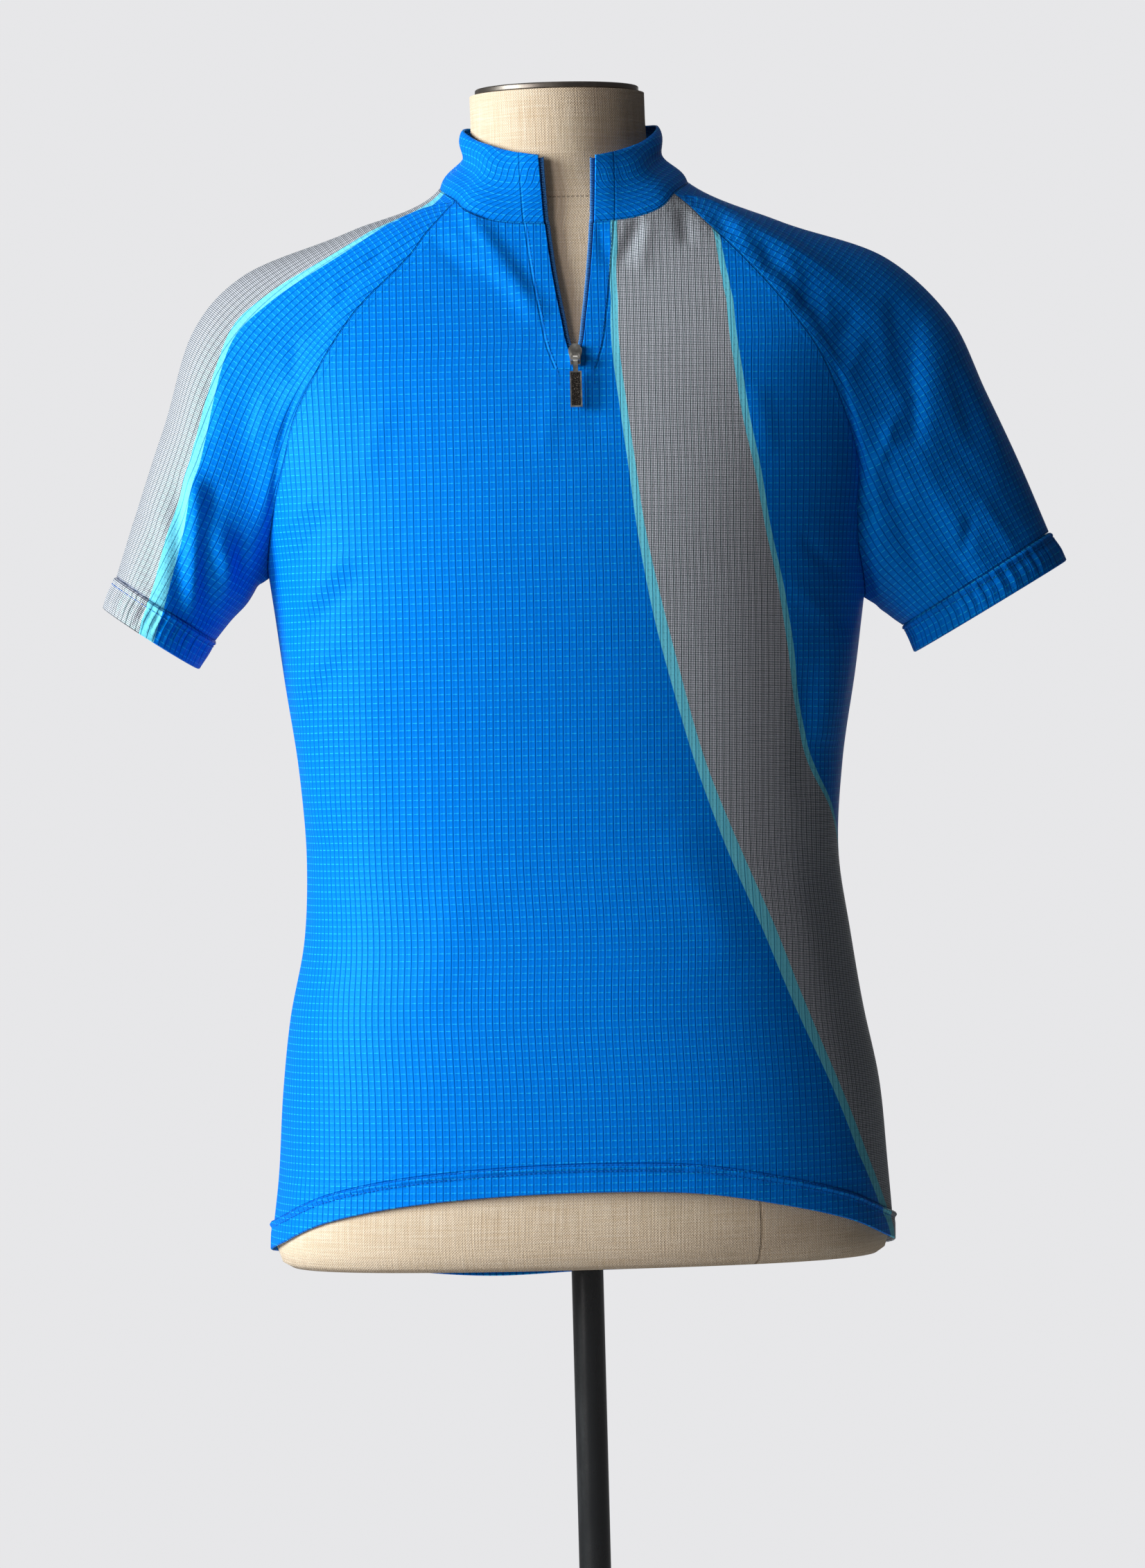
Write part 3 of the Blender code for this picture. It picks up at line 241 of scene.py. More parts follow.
# Sleeve rings: outer point's x and height, inner point's x and height, depth in front and
# behind, fullness, and share of the length
SLEEVE_RINGS = {
    LEFT: (
        (-206, 275, -200, 77, 58, 64, 0.1, 0.34), (-236, 243, -203, 72, 56, 61, 0.08, 0.48),
        (-256, 184, -208, 65, 55, 59, 0.05, 0.64), (-275, 130, -218, 55, 55, 59, 0.02, 0.8),
        (-290, 86, -228, 43, 56, 59, 0, 0.93),
    ),
    RIGHT: (
        (210, 276, 196, 55, 58, 64, 0.1, 0.34), (247, 240, 199, 52, 54, 59, 0.08, 0.48),
        (270, 190, 203, 49, 49, 54, 0.05, 0.64), (291, 142, 208, 45, 45, 48, 0.02, 0.8),
        (308, 99, 213, 41.5, 41, 43, 0, 0.93),
    ),
}
CUFF_RINGS = {
    LEFT: (
        (-290.3, 85, -228.2, 42.6, 57, 60, 0, 0), (-296, 74, -233.5, 34, 58, 60, 0, 0.55),
        (-299, 66, -239, 25.5, 57, 59, 0, 1),
    ),
    RIGHT: (
        (308.3, 98, 213.2, 41, 41.5, 43.5, 0, 0), (315, 88, 217, 33, 41, 43, 0, 0.55),
        (318.5, 80.5, 220, 24.5, 39, 41, 0, 1),
    ),
}

# Folds and creases seen from the front and from behind: x and height of both ends, width,
# and lift, which is negative for a trough
FRONT_FOLDS = (
    (-62, 314, -12, 236, 7.5, 3.2), (-50, 308, -8, 246, 6, -0.4), (36, 270, 52, 303, 5, -1.8),
    (80, 283, 78, 309, 5, -1.5), (-212, 70, -238, 150, 9, 3), (-224, 145, -232, 52, 7, -3.4),
    (-247, 150, -246, 46, 7, -3.2), (-236, 156, -238, 58, 6, 2.6), (212, 252, 216, 186, 7, -3),
    (226, 258, 232, 196, 7, -0.6), (214, 160, 268, 66, 8, 1.6), (232, 170, 292, 96, 8, -1.1),
    (202, 140, 228, 60, 7, -2.6), (174, 44, 158, -34, 11, 3.4), (-176, 60, -162, -90, 13, 2.6),
    (-150, 122, -178, 84, 7, -1.6), (-138, 96, -172, 58, 7, 1.8), (223, 246, 221, 150, 6, -2.6),
    (210, 176, 192, 132, 4.5, 1.8), (184, 111, 214, 124, 4.5, -2.2), (196, 150, 214, 132, 5, 1.4),
    (250, 84, 256, 110, 4.5, -1.6), (-74, 303, -34, 262, 4, 0.9), (-82, 292, -58, 268, 4.5, -0.9),
    (24, 300, 30, 268, 3.5, -1), (56, 302, 50, 266, 4, 0.8), (100, 306, 105, 290, 4, -1.4),
    (112, 300, 119, 280, 4, 1), (128, 286, 134, 266, 4, -1.5), (140, 278, 152, 258, 4.5, 1.2),
    (158, 260, 150, 240, 4.5, -1.6), (166, 252, 168, 228, 4.5, 1.2),
    (186, 242, 172, 218, 4.5, -1.5), (190, 226, 178, 196, 5, 1.2), (-112, 290, -124, 270, 4, -0.8),
    (-140, 268, -150, 244, 4.5, 0.9), (-168, 232, -172, 204, 5, -1),
    (-188, 200, -196, 166, 5, 0.9), (-222, 210, -230, 168, 5.5, -1.2),
    (-258, 176, -268, 124, 6, 1.3), (-262, 120, -268, 74, 5, -1.5), (-276, 124, -280, 78, 5, 1),
    (-216, 100, -222, 56, 4.5, 1.1), (-206, 112, -212, 72, 4, -1.2),
    (198, 176, 222, 120, 5.5, 1.3), (206, 120, 240, 62, 5, 1), (244, 214, 262, 150, 6, -1.2),
    (256, 206, 280, 140, 5, 1.1), (262, 120, 286, 84, 5, 1.1), (276, 132, 300, 102, 4.5, -0.9),
    (238, 92, 262, 56, 4.5, -1), (-158, 134, -184, 108, 4.5, 1), (-130, 82, -174, 40, 6, -1),
    (-140, 46, -176, 8, 6, 0.9), (-146, 26, -172, -20, 6, -0.8), (-150, -60, -152, -180, 12, -1),
    (-128, 60, -136, -120, 14, 0.9), (146, 100, 172, 70, 5, -1.2), (136, 74, 168, 40, 6, 1),
    (148, 20, 144, -70, 8, -1.6), (164, -20, 156, -110, 8, 1.3), (150, -110, 166, -190, 9, -1),
    (-6, 198, -14, 150, 5, 0.7), (16, 200, 20, 158, 5, -0.6), (60, -80, 100, -170, 14, 0.8),
    (-70, -110, -100, -200, 16, 0.9), (-180, -300, -186, -326, 5, 1),
    (-150, -298, -158, -318, 4.5, -0.6), (172, -296, 184, -326, 5, 0.9),
    (120, 196, 128, 150, 7, 0.8), (-112, 190, -128, 140, 8, 0.8),
)
BACK_FOLDS = (
    (-66, 318, -30, 250, 9, 2.6), (70, 316, 40, 246, 9, 2.4), (-228, 240, -232, 150, 8, -3),
    (-250, 160, -248, 60, 8, 2.8), (228, 240, 240, 160, 8, -3), (240, 150, 262, 66, 8, 2.8),
    (-176, 70, -160, -70, 12, 2.8), (176, 66, 158, -60, 12, 3), (-90, -96, 86, -112, 16, 3),
    (-88, 300, -108, 274, 4.5, -1), (-58, 300, -40, 240, 6, -1.2), (-20, 310, -10, 230, 8, 0.9),
    (34, 306, 22, 228, 8, -1), (84, 306, 62, 250, 6, -1.1), (112, 288, 130, 258, 5, 1.1),
    (-120, 282, -140, 250, 5, 1.1), (-158, 232, -168, 196, 5, -1.2), (162, 236, 172, 196, 5, -1.2),
    (-212, 216, -220, 140, 6, 1.3), (-266, 140, -272, 80, 5, -1.4), (-232, 120, -238, 56, 5, -1.2),
    (256, 206, 276, 140, 6, -1.3), (222, 170, 236, 100, 6, 1.3), (262, 130, 290, 92, 5, -1.2),
    (-140, 100, -172, 60, 6, -1.1), (-146, 66, -176, 24, 6, 1.2), (146, 96, 172, 52, 6, -1.2),
    (140, 60, 168, 16, 6, 1.1), (-134, -70, 20, -84, 10, -1.3), (-20, -126, 128, -128, 12, -1.4),
    (-120, -126, -10, -142, 12, 1.6), (-60, -60, 70, -70, 12, 1.2),
    (-150, -30, -146, -170, 10, -1.2), (150, -20, 148, -160, 10, -1.3),
    (-90, -180, -104, -300, 16, 1.1), (70, -170, 96, -296, 16, 1.2),
    (-178, -300, -184, -330, 5, 0.9), (176, -300, 184, -334, 5, 0.9),
)

# Colour band on the body: height, then the angles of its border and of its grey part's border
BAND_LEFT = (
    (-400, 92, 99), (-349, 78, 84.5), (-314, 66, 71), (-262, 55, 58.3), (-194, 45.3, 49),
    (-112, 34.3, 38), (-44, 24.6, 27), (45, 15.3, 17.5), (110, 11.5, 12.9), (180, 8.7, 9.9),
    (238, 6.5, 7.6), (260, 6.2, 7.2), (276, 6.6, 7.7), (284, 7.3, 8.6), (292, 8.9, 10.3),
    (300, 10.7, 12.3), (308, 12.6, 14.4), (330, 17.5, 19.5),
)
BAND_RIGHT = (
    (-400, 153, 149), (-330, 143, 139), (-240, 128, 124), (-160, 110, 106), (-101, 88.8, 85.4),
    (-52, 62.2, 59.8), (-12, 52, 50.2), (35, 46.1, 44.3), (70, 42.1, 40.6), (110, 37.4, 36.1),
    (150, 33.6, 32.2), (200, 29.3, 27.9), (238, 25.8, 24.6), (260, 24.4, 23.3), (276, 26.1, 25),
    (284, 28.6, 27.4), (292, 32.8, 31.5), (300, 38, 36.6), (320, 52, 50.4),
)
# Colour band on the left sleeve: share of the length, then a ring's degrees at the border, at
# the grey part's border, and at both of them behind
SLEEVE_BORDERS = (
    (0, 156, 163, 196, 199), (0.07, 142, 152, 205, 209), (0.17, 132, 136.5, 216, 220),
    (0.3, 129, 134.5, 226, 231), (0.38, 126, 132, 231, 236), (0.45, 116, 122, 234, 240),
    (0.55, 105, 114, 238, 245), (0.7, 102, 112.5, 241, 250), (0.82, 96, 111, 244, 255),
    (0.97, 88.5, 105, 247, 260), (1, 87, 104, 247, 260), (1.13, 81, 98, 249, 264),
)


def joined(values, slopes, k, span, t):
    """Smooth curve at the share t of the way from its knot k to the next."""
    return (values[k] * (1 + 2 * t) * (1 - t) ** 2 + values[k + 1] * t * t * (3 - 2 * t)
            + slopes[k] * span * t * (1 - t) ** 2 - slopes[k + 1] * span * t * t * (1 - t))


def smooth(at, table):
    """A table's columns after its first, read along smooth curves at values of the first."""
    rows, at = np.array(table, float), np.asarray(at, float)
    first = rows[:, 0]
    k = np.clip(np.searchsorted(first, at) - 1, 0, len(first) - 2)
    span = first[k + 1] - first[k]
    t = np.clip((at - first[k]) / span, 0.0, 1.0)
    return [joined(column, np.gradient(column, first), k, span, t) for column in rows[:, 1:].T]


def read_at(at, known, values):
    """Rows of values read at places along them, in straight steps."""
    return np.column_stack([np.interp(at, known, column) for column in np.transpose(values)])


def bump(at, middle, width):
    """Soft ridge of height 1 over its middle."""
    return np.exp(-((at - middle) / width) ** 2)


def unit(vectors):
    """Directions of length 1."""
    return vectors / np.maximum(np.linalg.norm(vectors, axis=-1, keepdims=True), 1e-9)


def pairs(angle, height):
    """Two values side by side at each point."""
    return np.stack(np.broadcast_arrays(angle, height), axis=-1)


def wrap(angle):
    """The same angle between half a turn to the left and half a turn to the right."""
    return (np.asarray(angle, float) + np.pi) % (2 * np.pi) - np.pi


def search(low, high, short):
    """Values between low and high at which the test called short stops holding, by halving."""
    for _ in range(40):
        middle = (low + high) / 2
        holds = short(middle)
        low, high = np.where(holds, middle, low), np.where(holds, high, middle)
    return (low + high) / 2


def ring_point(angle, height, rings):
    """Point of a body's ring; the angle runs from the front, positive to the right."""
    sine, cosine = np.sin(angle), np.cos(angle)
    left, right, front, back, full = smooth(height, rings)
    x = (right - left) / 2 + (left + right) / 2 * sine * (1 + full * cosine ** 2)
    y = -np.where(cosine > 0, front, back) * cosine * (1 + full * sine ** 2)
    return np.stack(np.broadcast_arrays(x, y, height), axis=-1)


def jersey(angle, height):
    """Point of the jersey's body."""
    return ring_point(np.asarray(angle, float), np.asarray(height, float), JERSEY_RINGS)


def on_jersey(angle, height):
    """Points of the jersey's body, and its outward directions there."""
    turn, rise = 0.004, 1.0
    around = jersey(angle + turn, height) - jersey(angle - turn, height)
    up = jersey(angle, height + rise) - jersey(angle, height - rise)
    return jersey(angle, height), unit(np.cross(around, up))


def angle_at(x, height):
    """Angle of the front point that lies x to the right of the middle, at most 90 degrees."""
    x, height = np.broadcast_arrays(np.asarray(x, float), np.asarray(height, float))
    side = np.full(x.shape, np.pi / 2)
    return search(-side, side, lambda angle: jersey(angle, height)[..., 0] < x)


def jersey_place(points):
    """Angle and height of points that lie on the jersey's body, or close to it."""
    x, y, height = points.T
    left, right, front, back, full = smooth(height, JERSEY_RINGS)
    across = (x - (right - left) / 2) / ((left + right) / 2)
    ahead = -y / np.where(y < 0, front, back)
    angle = np.arctan2(across, ahead)
    for _ in range(8):
        sine, cosine = np.sin(angle), np.cos(angle)
        angle = np.arctan2(across / (1 + full * cosine ** 2), ahead / (1 + full * sine ** 2))
    return angle, height


def shoulder_height(points):
    """Height at which the jersey's body has its surface above or below each point."""
    away = np.hypot(*points[:, :2].T)

    def inside(height):
        angle, _ = jersey_place(np.column_stack([points[:, :2], height]))
        return away < np.hypot(*jersey(angle, height)[:, :2].T)

    return search(*(np.full(len(points), end) for end in SHOULDER_SEARCH), inside)


def collar_seam(angle):
    """Height of the collar's seam at an angle."""
    return smooth(np.degrees(wrap(angle)), COLLAR_SEAM)[0]


def hem_edge(angle):
    """Height of the jersey's lower edge at an angle."""
    return smooth(np.degrees(wrap(angle)), HEM_EDGE)[0]


def opening(height, side):
    """How far to the right the cloth's edge beside the zip lies; side 0 is the middle."""
    half, middle = smooth(height, ZIP_OPENING)
    return middle + side * np.maximum(half, 0)


def lengths(points):
    """Distance of each point along a line from its start."""
    return np.concatenate([[0], np.cumsum(np.linalg.norm(np.diff(points, axis=0), axis=1))])


def raglan(table):
    """Angles and heights along a raglan seam, in even steps from the armpit to the collar."""
    rows = np.array(table, float)
    points = jersey(np.radians(rows[:, 0]), rows[:, 1])
    length = lengths(points)
    fine = np.linspace(0, length[-1], 400)
    curve = np.column_stack(smooth(fine, np.column_stack([length, points])))
    place = np.column_stack(jersey_place(curve))
    run = lengths(jersey(*place.T))
    at = np.interp(np.linspace(0, run[-1], RAGLAN_STEPS + 1), run, fine)
    angle, height = read_at(at, fine, place).T
    height[-1] = collar_seam(angle[-1])
    return angle, height


def fold_lift(points, normals):
    """How far the folds lift the cloth: a soft ridge or trough along each row's line."""
    lift = np.zeros(points.shape[:-1])
    flat = points[..., [0, 2]]
    for side, folds in ((-1, FRONT_FOLDS), (1, BACK_FOLDS)):
        facing = np.clip(2.5 * side * normals[..., 1], 0, 1)
        for x1, z1, x2, z2, width, height in folds:
            start, line = np.array([x1, z1], float), np.array([x2 - x1, z2 - z1], float)
            along = np.clip(((flat - start) @ line) / (line @ line), 0, 1)
            away = np.linalg.norm(flat - start - along[..., None] * line, axis=-1)
            lift += height * bump(away, 0, width) * (1 - (2 * along - 1) ** 4) * facing
    return lift


def numbered(grid):
    """Point numbers of a grid."""
    rows, columns = grid.shape[:2]
    return np.arange(rows * columns).reshape(rows, columns)


def grid_faces(index):
    """Four-sided faces between the rows and columns of a grid of point numbers."""
    a, b, c, d = index[:-1, :-1], index[:-1, 1:], index[1:, 1:], index[1:, :-1]
    return np.stack([a, b, c, d], axis=-1).reshape(-1, 4)


def loop_faces(index):
    """The same where each row is a closed ring."""
    return grid_faces(np.hstack([index, index[:, :1]]))


def point_normals(points, faces):
    """Average direction of the faces round each point."""
    corner = points[faces]
    face = np.cross(corner[:, 2] - corner[:, 0], corner[:, 3] - corner[:, 1])
    normals = np.zeros(points.shape)
    for k in range(4):
        np.add.at(normals, faces[:, k], face)
    return unit(normals)


def border_edges(faces):
    """Edges with one face, each with that face's number."""
    edges = {}
    for number, face in enumerate(faces.tolist()):
        for a, b in zip(face, face[1:] + face[:1]):
            edges.setdefault((min(a, b), max(a, b)), []).append((a, b, number))
    return [found[0] for found in edges.values() if len(found) == 1]


def inward_directions(points, faces, border):
    """For each point of a panel's edge, the direction into the panel."""
    found = {}
    for a, b, number in border:
        edge = unit(points[b] - points[a])
        into = points[faces[number]].mean(axis=0) - (points[a] + points[b]) / 2
        into = unit(into - (into @ edge) * edge)
        found.setdefault(a, []).append(into)
        found.setdefault(b, []).append(into)
    return {point: (first + second) / max(1 + first @ second, CORNER_LIMIT)
            for point, (first, second) in found.items()}


def put(name, data):
    """New object in the scene."""
    thing = bpy.data.objects.new(name, data)
    bpy.context.scene.collection.objects.link(thing)
    return thing


def corner_points(mesh):
    """Point number at each corner of a mesh's faces."""
    corner = np.empty(len(mesh.loops), np.int32)
    mesh.loops.foreach_get("vertex_index", corner)
    return corner


def place_mesh(name, points, faces, coat=None, flat=None, marks=None, sharp=50.0):
    """Object made of points in millimetres, with its material, flat lay and named values."""
    mesh = bpy.data.meshes.new(name)
    mesh.from_pydata((np.asarray(points, float) * MM).tolist(), [],
                     faces.tolist() if isinstance(faces, np.ndarray) else faces)
    mesh.shade_smooth()
    mesh.set_sharp_from_angle(angle=np.radians(sharp))
    if coat is not None:
        mesh.materials.append(coat)
    if flat is not None:
        layer = mesh.uv_layers.new(name="flat")
        layer.data.foreach_set("uv", (np.asarray(flat, float) * MM)[corner_points(mesh)].ravel())
    for key, values in (marks or {}).items():
        mesh.attributes.new(key, "FLOAT", "POINT").data.foreach_set(
            "value", np.asarray(values, float) * MM)
    return put(name, mesh)


def ride(thing, slot, *nodes, body=MAIN_BODY):
    """Sets a piece on its body and hides the nodes that it stands for; its slot is not used."""
    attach(thing, body)
    if nodes:
        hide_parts(*nodes)
    return thing


def cloth(node, points, faces, coat, flat, marks, normals=None, wall=WALL, folds=True, out=0.0):
    """Piece of cloth with an outer skin, a lining and a rounded edge between them."""
    own = point_normals(points, faces)
    if normals is None:
        normals = own
    if np.mean(np.sum(own * normals, axis=1)) < 0:
        faces = faces[:, ::-1]
    if folds:
        out = out + fold_lift(points, normals)
    points = points + normals * out[:, None]
    border = border_edges(faces)
    inward = inward_directions(points, faces, border)
    edge = np.array(sorted(inward))
    into = np.array([inward[point] for point in edge])
    outer, count = points.copy(), len(points)
    outer[edge] += SEAM_GAP / 2 * into
    inner = outer - normals * wall
    middle = (outer[edge] + inner[edge]) / 2 - into * wall * EDGE_ROUND
    rim = {int(point): 2 * count + k for k, point in enumerate(edge)}
    rim_faces = []
    for a, b, _ in border:
        rim_faces += [[b, a, rim[a], rim[b]], [rim[b], rim[a], a + count, b + count]]
    where = np.concatenate([np.arange(count), np.arange(count), edge])
    thing = place_mesh(
        node.replace("_panel", "") + "_cloth", np.vstack([outer, inner, middle]) + TO_LEVEL,
        np.vstack([faces, faces[:, ::-1] + count, rim_faces]), coat, flat[where],
        {key: value[where] for key, value in marks.items()})
    return ride(thing, "blue", node)


def grid_lengths(points, axis):
    """Distance of each point of a grid along its row (axis 1) or column (axis 0)."""
    total = np.cumsum(np.linalg.norm(np.diff(points, axis=axis), axis=-1), axis=axis)
    return np.concatenate([np.zeros_like(np.take(total, [0], axis=axis)), total], axis=axis)


def edge_distance(points, *sides):
    """Distance of each point of a grid from the named sides: low, high, start, end."""
    up, across = grid_lengths(points, 0), grid_lengths(points, 1)
    found = {"low": up, "high": up[-1:] - up, "start": across, "end": across[:, -1:] - across}
    return np.min(np.stack([found[side] for side in sides]), axis=0)


def spread(grid, middle, up):
    """Flat lay of a grid: length along each row from its middle column, and a given height."""
    around = grid_lengths(grid, 1)
    return pairs(around - around[:, [middle]], up).reshape(-1, 2)


def body_flat(angle, height):
    """Flat lay of the body's cloth: length round the ring from the front, and height."""
    levels = np.linspace(-400, 362, 128)
    arc = grid_lengths(jersey(np.linspace(-np.pi, np.pi, 361)[None], levels[:, None]), 1)
    arc = arc - arc[:, [180]]
    turns, place = np.divmod(angle + np.pi, 2 * np.pi)
    place = np.degrees(place)
    row = (height - levels[0]) / (levels[1] - levels[0])
    i = np.clip(row.astype(int), 0, len(levels) - 2)
    j = np.clip(place.astype(int), 0, 359)
    s, t = row - i, place - j
    value = ((arc[i, j] * (1 - t) + arc[i, j + 1] * t) * (1 - s)
             + (arc[i + 1, j] * (1 - t) + arc[i + 1, j + 1] * t) * s)
    whole = (arc[i, 360] - arc[i, 0]) * (1 - s) + (arc[i + 1, 360] - arc[i + 1, 0]) * s
    return pairs(value + turns * whole, height)


def front_flat(angle, height):
    """Flat lay of the front, whose lines run straight up over the shoulder."""
    low = np.minimum(height, STRAIGHT_ABOVE)
    flat = body_flat(angle_at(jersey(angle, height)[:, 0], low), low)
    flat[:, 1] = height
    return flat


def band_marks(angle, height):
    """How far inside the colour band and inside its grey part each point of the body lies."""
    turn, step = np.degrees(angle), np.radians(0.5)
    reach = np.linalg.norm(jersey(angle + step, height) - jersey(angle - step, height), axis=-1)
    borders = zip(("strip", "grey"), smooth(height, BAND_LEFT), smooth(height, BAND_RIGHT))
    return {key: np.minimum(turn - left, right - turn) * reach for key, left, right in borders}


def placket(distance):
    """Rise of the doubled cloth beside the zip."""
    return PLACKET_RISE / (1 + np.exp((distance - PLACKET_WIDTH) / PLACKET_EDGE))


def body_cloth(node, angle, height, faces, coat, seam, zipper=None, lay=body_flat, **how):
    """Piece of cloth whose points are given by their angle and height on the body."""
    points, normals = on_jersey(angle, height)
    marks = {**band_marks(angle, height), "seam": seam,
             "zip": np.full(len(points), FAR) if zipper is None else zipper}
    return cloth(node, points, faces, coat, lay(angle, height), marks, normals, **how)


def side_edge(side, seam):
    """Angles and heights up a panel's side: the side seam, then the raglan seam."""
    low = hem_edge(side * np.pi / 2) + HEM_HEIGHT
    below = np.linspace(low, seam[1][0], SIDE_ROWS + 1)[:-1]
    return pairs(np.concatenate([np.full(SIDE_ROWS, side * np.pi / 2), seam[0]]),
                 np.concatenate([below, seam[1]]))


def panel_grid(first, last, columns):
    """Angles and heights of a panel's points, filled in between its two sides."""
    across = np.linspace(0, 1, columns + 1)
    low, high = (first[end, 0] * (1 - across) + last[end, 0] * across for end in (0, -1))
    bottom, top = pairs(low, hem_edge(low) + HEM_HEIGHT), pairs(high, collar_seam(high))
    u, v = across[None, :, None], np.linspace(0, 1, len(first))[:, None, None]
    sides = (1 - u) * first[:, None] + u * last[:, None]
    ends = (1 - v) * bottom[None] + v * top[None]
    corners = ((1 - v) * ((1 - u) * bottom[0] + u * bottom[-1])
               + v * ((1 - u) * top[0] + u * top[-1]))
    return sides + ends - corners


def front_panel(seams, coat):
    """Front from hem seam to collar seam, split above the zip's foot."""
    rows = SIDE_ROWS + RAGLAN_STEPS + 1
    foot_row = rows - 1 - ZIP_ROWS
    foot_angle = angle_at(opening(ZIP_FOOT, 0), ZIP_FOOT)
    lower = pairs(np.linspace(0, foot_angle, foot_row + 1),
                  np.linspace(hem_edge(0.0) + HEM_HEIGHT, ZIP_FOOT, foot_row + 1))
    halves = []
    for side, _ in SIDES:
        up = np.linspace(ZIP_FOOT, ZIP_OPENING[-2][0], ZIP_ROWS + 1)[1:]
        edge = angle_at(opening(up, side), up)
        up[-1] = collar_seam(edge[-1])
        grid = panel_grid(side_edge(side, seams[side][0]), np.vstack([lower, pairs(edge, up)]),
                          HALF_COLUMNS)
        points = jersey(grid[..., 0], grid[..., 1])
        zip_away = edge_distance(points, "end")
        zip_away[:foot_row] = np.maximum(zip_away[:foot_row], FAR)
        half = np.dstack([grid, edge_distance(points, "low", "high", "start"), zip_away])
        halves.append(half if side == LEFT else half[:, ::-1])
    left = numbered(halves[0])
    right = left + left.size
    right[:foot_row + 1, 0] = left[:foot_row + 1, -1]
    used, faces = np.unique(np.vstack([grid_faces(left), grid_faces(right)]), return_inverse=True)
    angle, height, seam, zipper = np.vstack([half.reshape(-1, 4) for half in halves])[used].T
    return body_cloth("front_panel", angle, height, faces.reshape(-1, 4), coat, seam, zipper,
                      front_flat, out=placket(zipper))


def back_panel(seams, coat):
    """Back from hem seam to collar seam; its angles run on from the right side seam."""
    first = side_edge(RIGHT, seams[RIGHT][1])
    last = side_edge(LEFT, seams[LEFT][1]) + np.array([2 * np.pi, 0.0])
    grid = panel_grid(first, last, BACK_COLUMNS)
    angle, height = grid.reshape(-1, 2).T
    seam = edge_distance(jersey(grid[..., 0], grid[..., 1]), "low", "high", "start", "end")
    return body_cloth("back_panel", angle, height, grid_faces(numbered(grid)), coat, seam.ravel())


def hem_band(node, start, coat):
    """Hem below a panel, with the sewn ridge at its top and a soft fold at its foot."""
    angle = np.linspace(start, start + np.pi, HEM_COLUMNS + 1)
    share = np.array([0.0, 0.06, 0.14, 0.3, 0.45, 0.6, 0.72, 0.8, 0.86, 0.9, 0.94, 0.97, 1.0])
    share = share[:, None]
    ridge = 1.1 * bump(share, 0.9, 0.07) - 0.5 * bump(share, 0.76, 0.05)
    at_side = bump(np.abs(np.degrees(wrap(angle))), 90, 120 ** 0.5)
    wave = 0.25 * np.sin(angle * 61) * np.sin(angle * 23 + 1.0)
    out = HEM_OUT + ridge + (at_side * 0.9 + wave) * (0.3 + share)
    grid = pairs(angle, hem_edge(angle) + share * HEM_HEIGHT)
    seam = HEM_HEIGHT * (1 - share) + 0 * angle
    return body_cloth(node, *grid.reshape(-1, 2).T, grid_faces(numbered(grid)), coat,
                      seam.ravel(), wall=HEM_WALL, folds=False, out=out.ravel())


def sleeve_ring(row, degrees):
    """Points of one sleeve ring; 0 degrees is the inner point, 90 the front, 180 the outer."""
    outer_x, outer_z, inner_x, inner_z, front, back, full, _ = row
    sine, cosine = np.sin(np.radians(degrees)), np.cos(np.radians(degrees))
    outer, inner = np.array([outer_x, 0.0, outer_z]), np.array([inner_x, 0.0, inner_z])
    reach = (cosine * (1 + full * sine ** 2))[:, None] * (inner - outer) / 2
    depth = sine * (1 + full * cosine ** 2) * np.where(sine > 0, front, back)
    return (inner + outer) / 2 + reach + depth[:, None] * np.array([0.0, -1.0, 0.0])


def ring_degrees(seams):
    """Where a sleeve's lines cross its rings: as high in a ring as on the raglan seams."""
    reach = 1 - np.cos(np.radians(FRONT_SHARE))
    front, back = (
        np.degrees(np.arccos(1 - reach * (height - height[0]) / (height[-1] - height[0])))
        for _, height in seams)
    neck = np.linspace(FRONT_SHARE, 360 - FRONT_SHARE, NECK_STEPS + 1)[1:-1]
    return np.concatenate([front, neck, 360 - back[::-1]])


def sleeve_points(seams, rings, side, rows):
    """Rows of points from the raglan seam and the collar down to the cuff's seam."""
    (front_angle, front_height), (back_angle, back_height) = seams
    neck = np.linspace(front_angle[-1], back_angle[-1], NECK_STEPS + 1)[1:-1]
    angle = np.concatenate([front_angle, neck, back_angle[::-1]])
    height = np.concatenate([front_height, collar_seam(neck), back_height[::-1]])
    start, normal = on_jersey(angle, height)
    degrees = ring_degrees(seams)
    hoops = [sleeve_ring(row, degrees) for row in rings]
    rise = (height - height.min()) / (height.max() - height.min())
    on_body = np.clip((rise - HOLD_FROM) / (HOLD_FULL - HOLD_FROM), 0, 1)[:, None]
    yoke = start + YOKE_SHARE * (hoops[0] - start)
    on_shoulder = np.clip((height - SHOULDER_FROM) / SHOULDER_BLEND, 0, 1)
    yoke[:, 2] += on_shoulder * (shoulder_height(yoke) - yoke[:, 2])
    knots = np.stack([start, yoke] + hoops)
    at = np.array([0.0, YOKE_SHARE * rings[0][-1]] + [row[-1] for row in rings]) / rings[-1][-1]
    slopes = np.gradient(knots, at, axis=0)
    closed = start[:-1]
    seam = unit(np.roll(closed, -1, axis=0) - np.roll(closed, 1, axis=0))
    leave = unit(np.cross(np.vstack([seam, seam[:1]]), normal)) * side
    first = knots[1] - knots[0]
    reach = np.linalg.norm(first, axis=-1, keepdims=True)
    slopes[0] = (first * (1 - on_body) + leave * reach * on_body) / at[1]
    lines = []
    for share in rows:
        k = min(int(np.searchsorted(at, share, side="right")) - 1, len(at) - 2)
        span = at[k + 1] - at[k]
        lines.append(joined(knots, slopes, k, span, (share - at[k]) / span))
    return np.stack(lines), normal, degrees


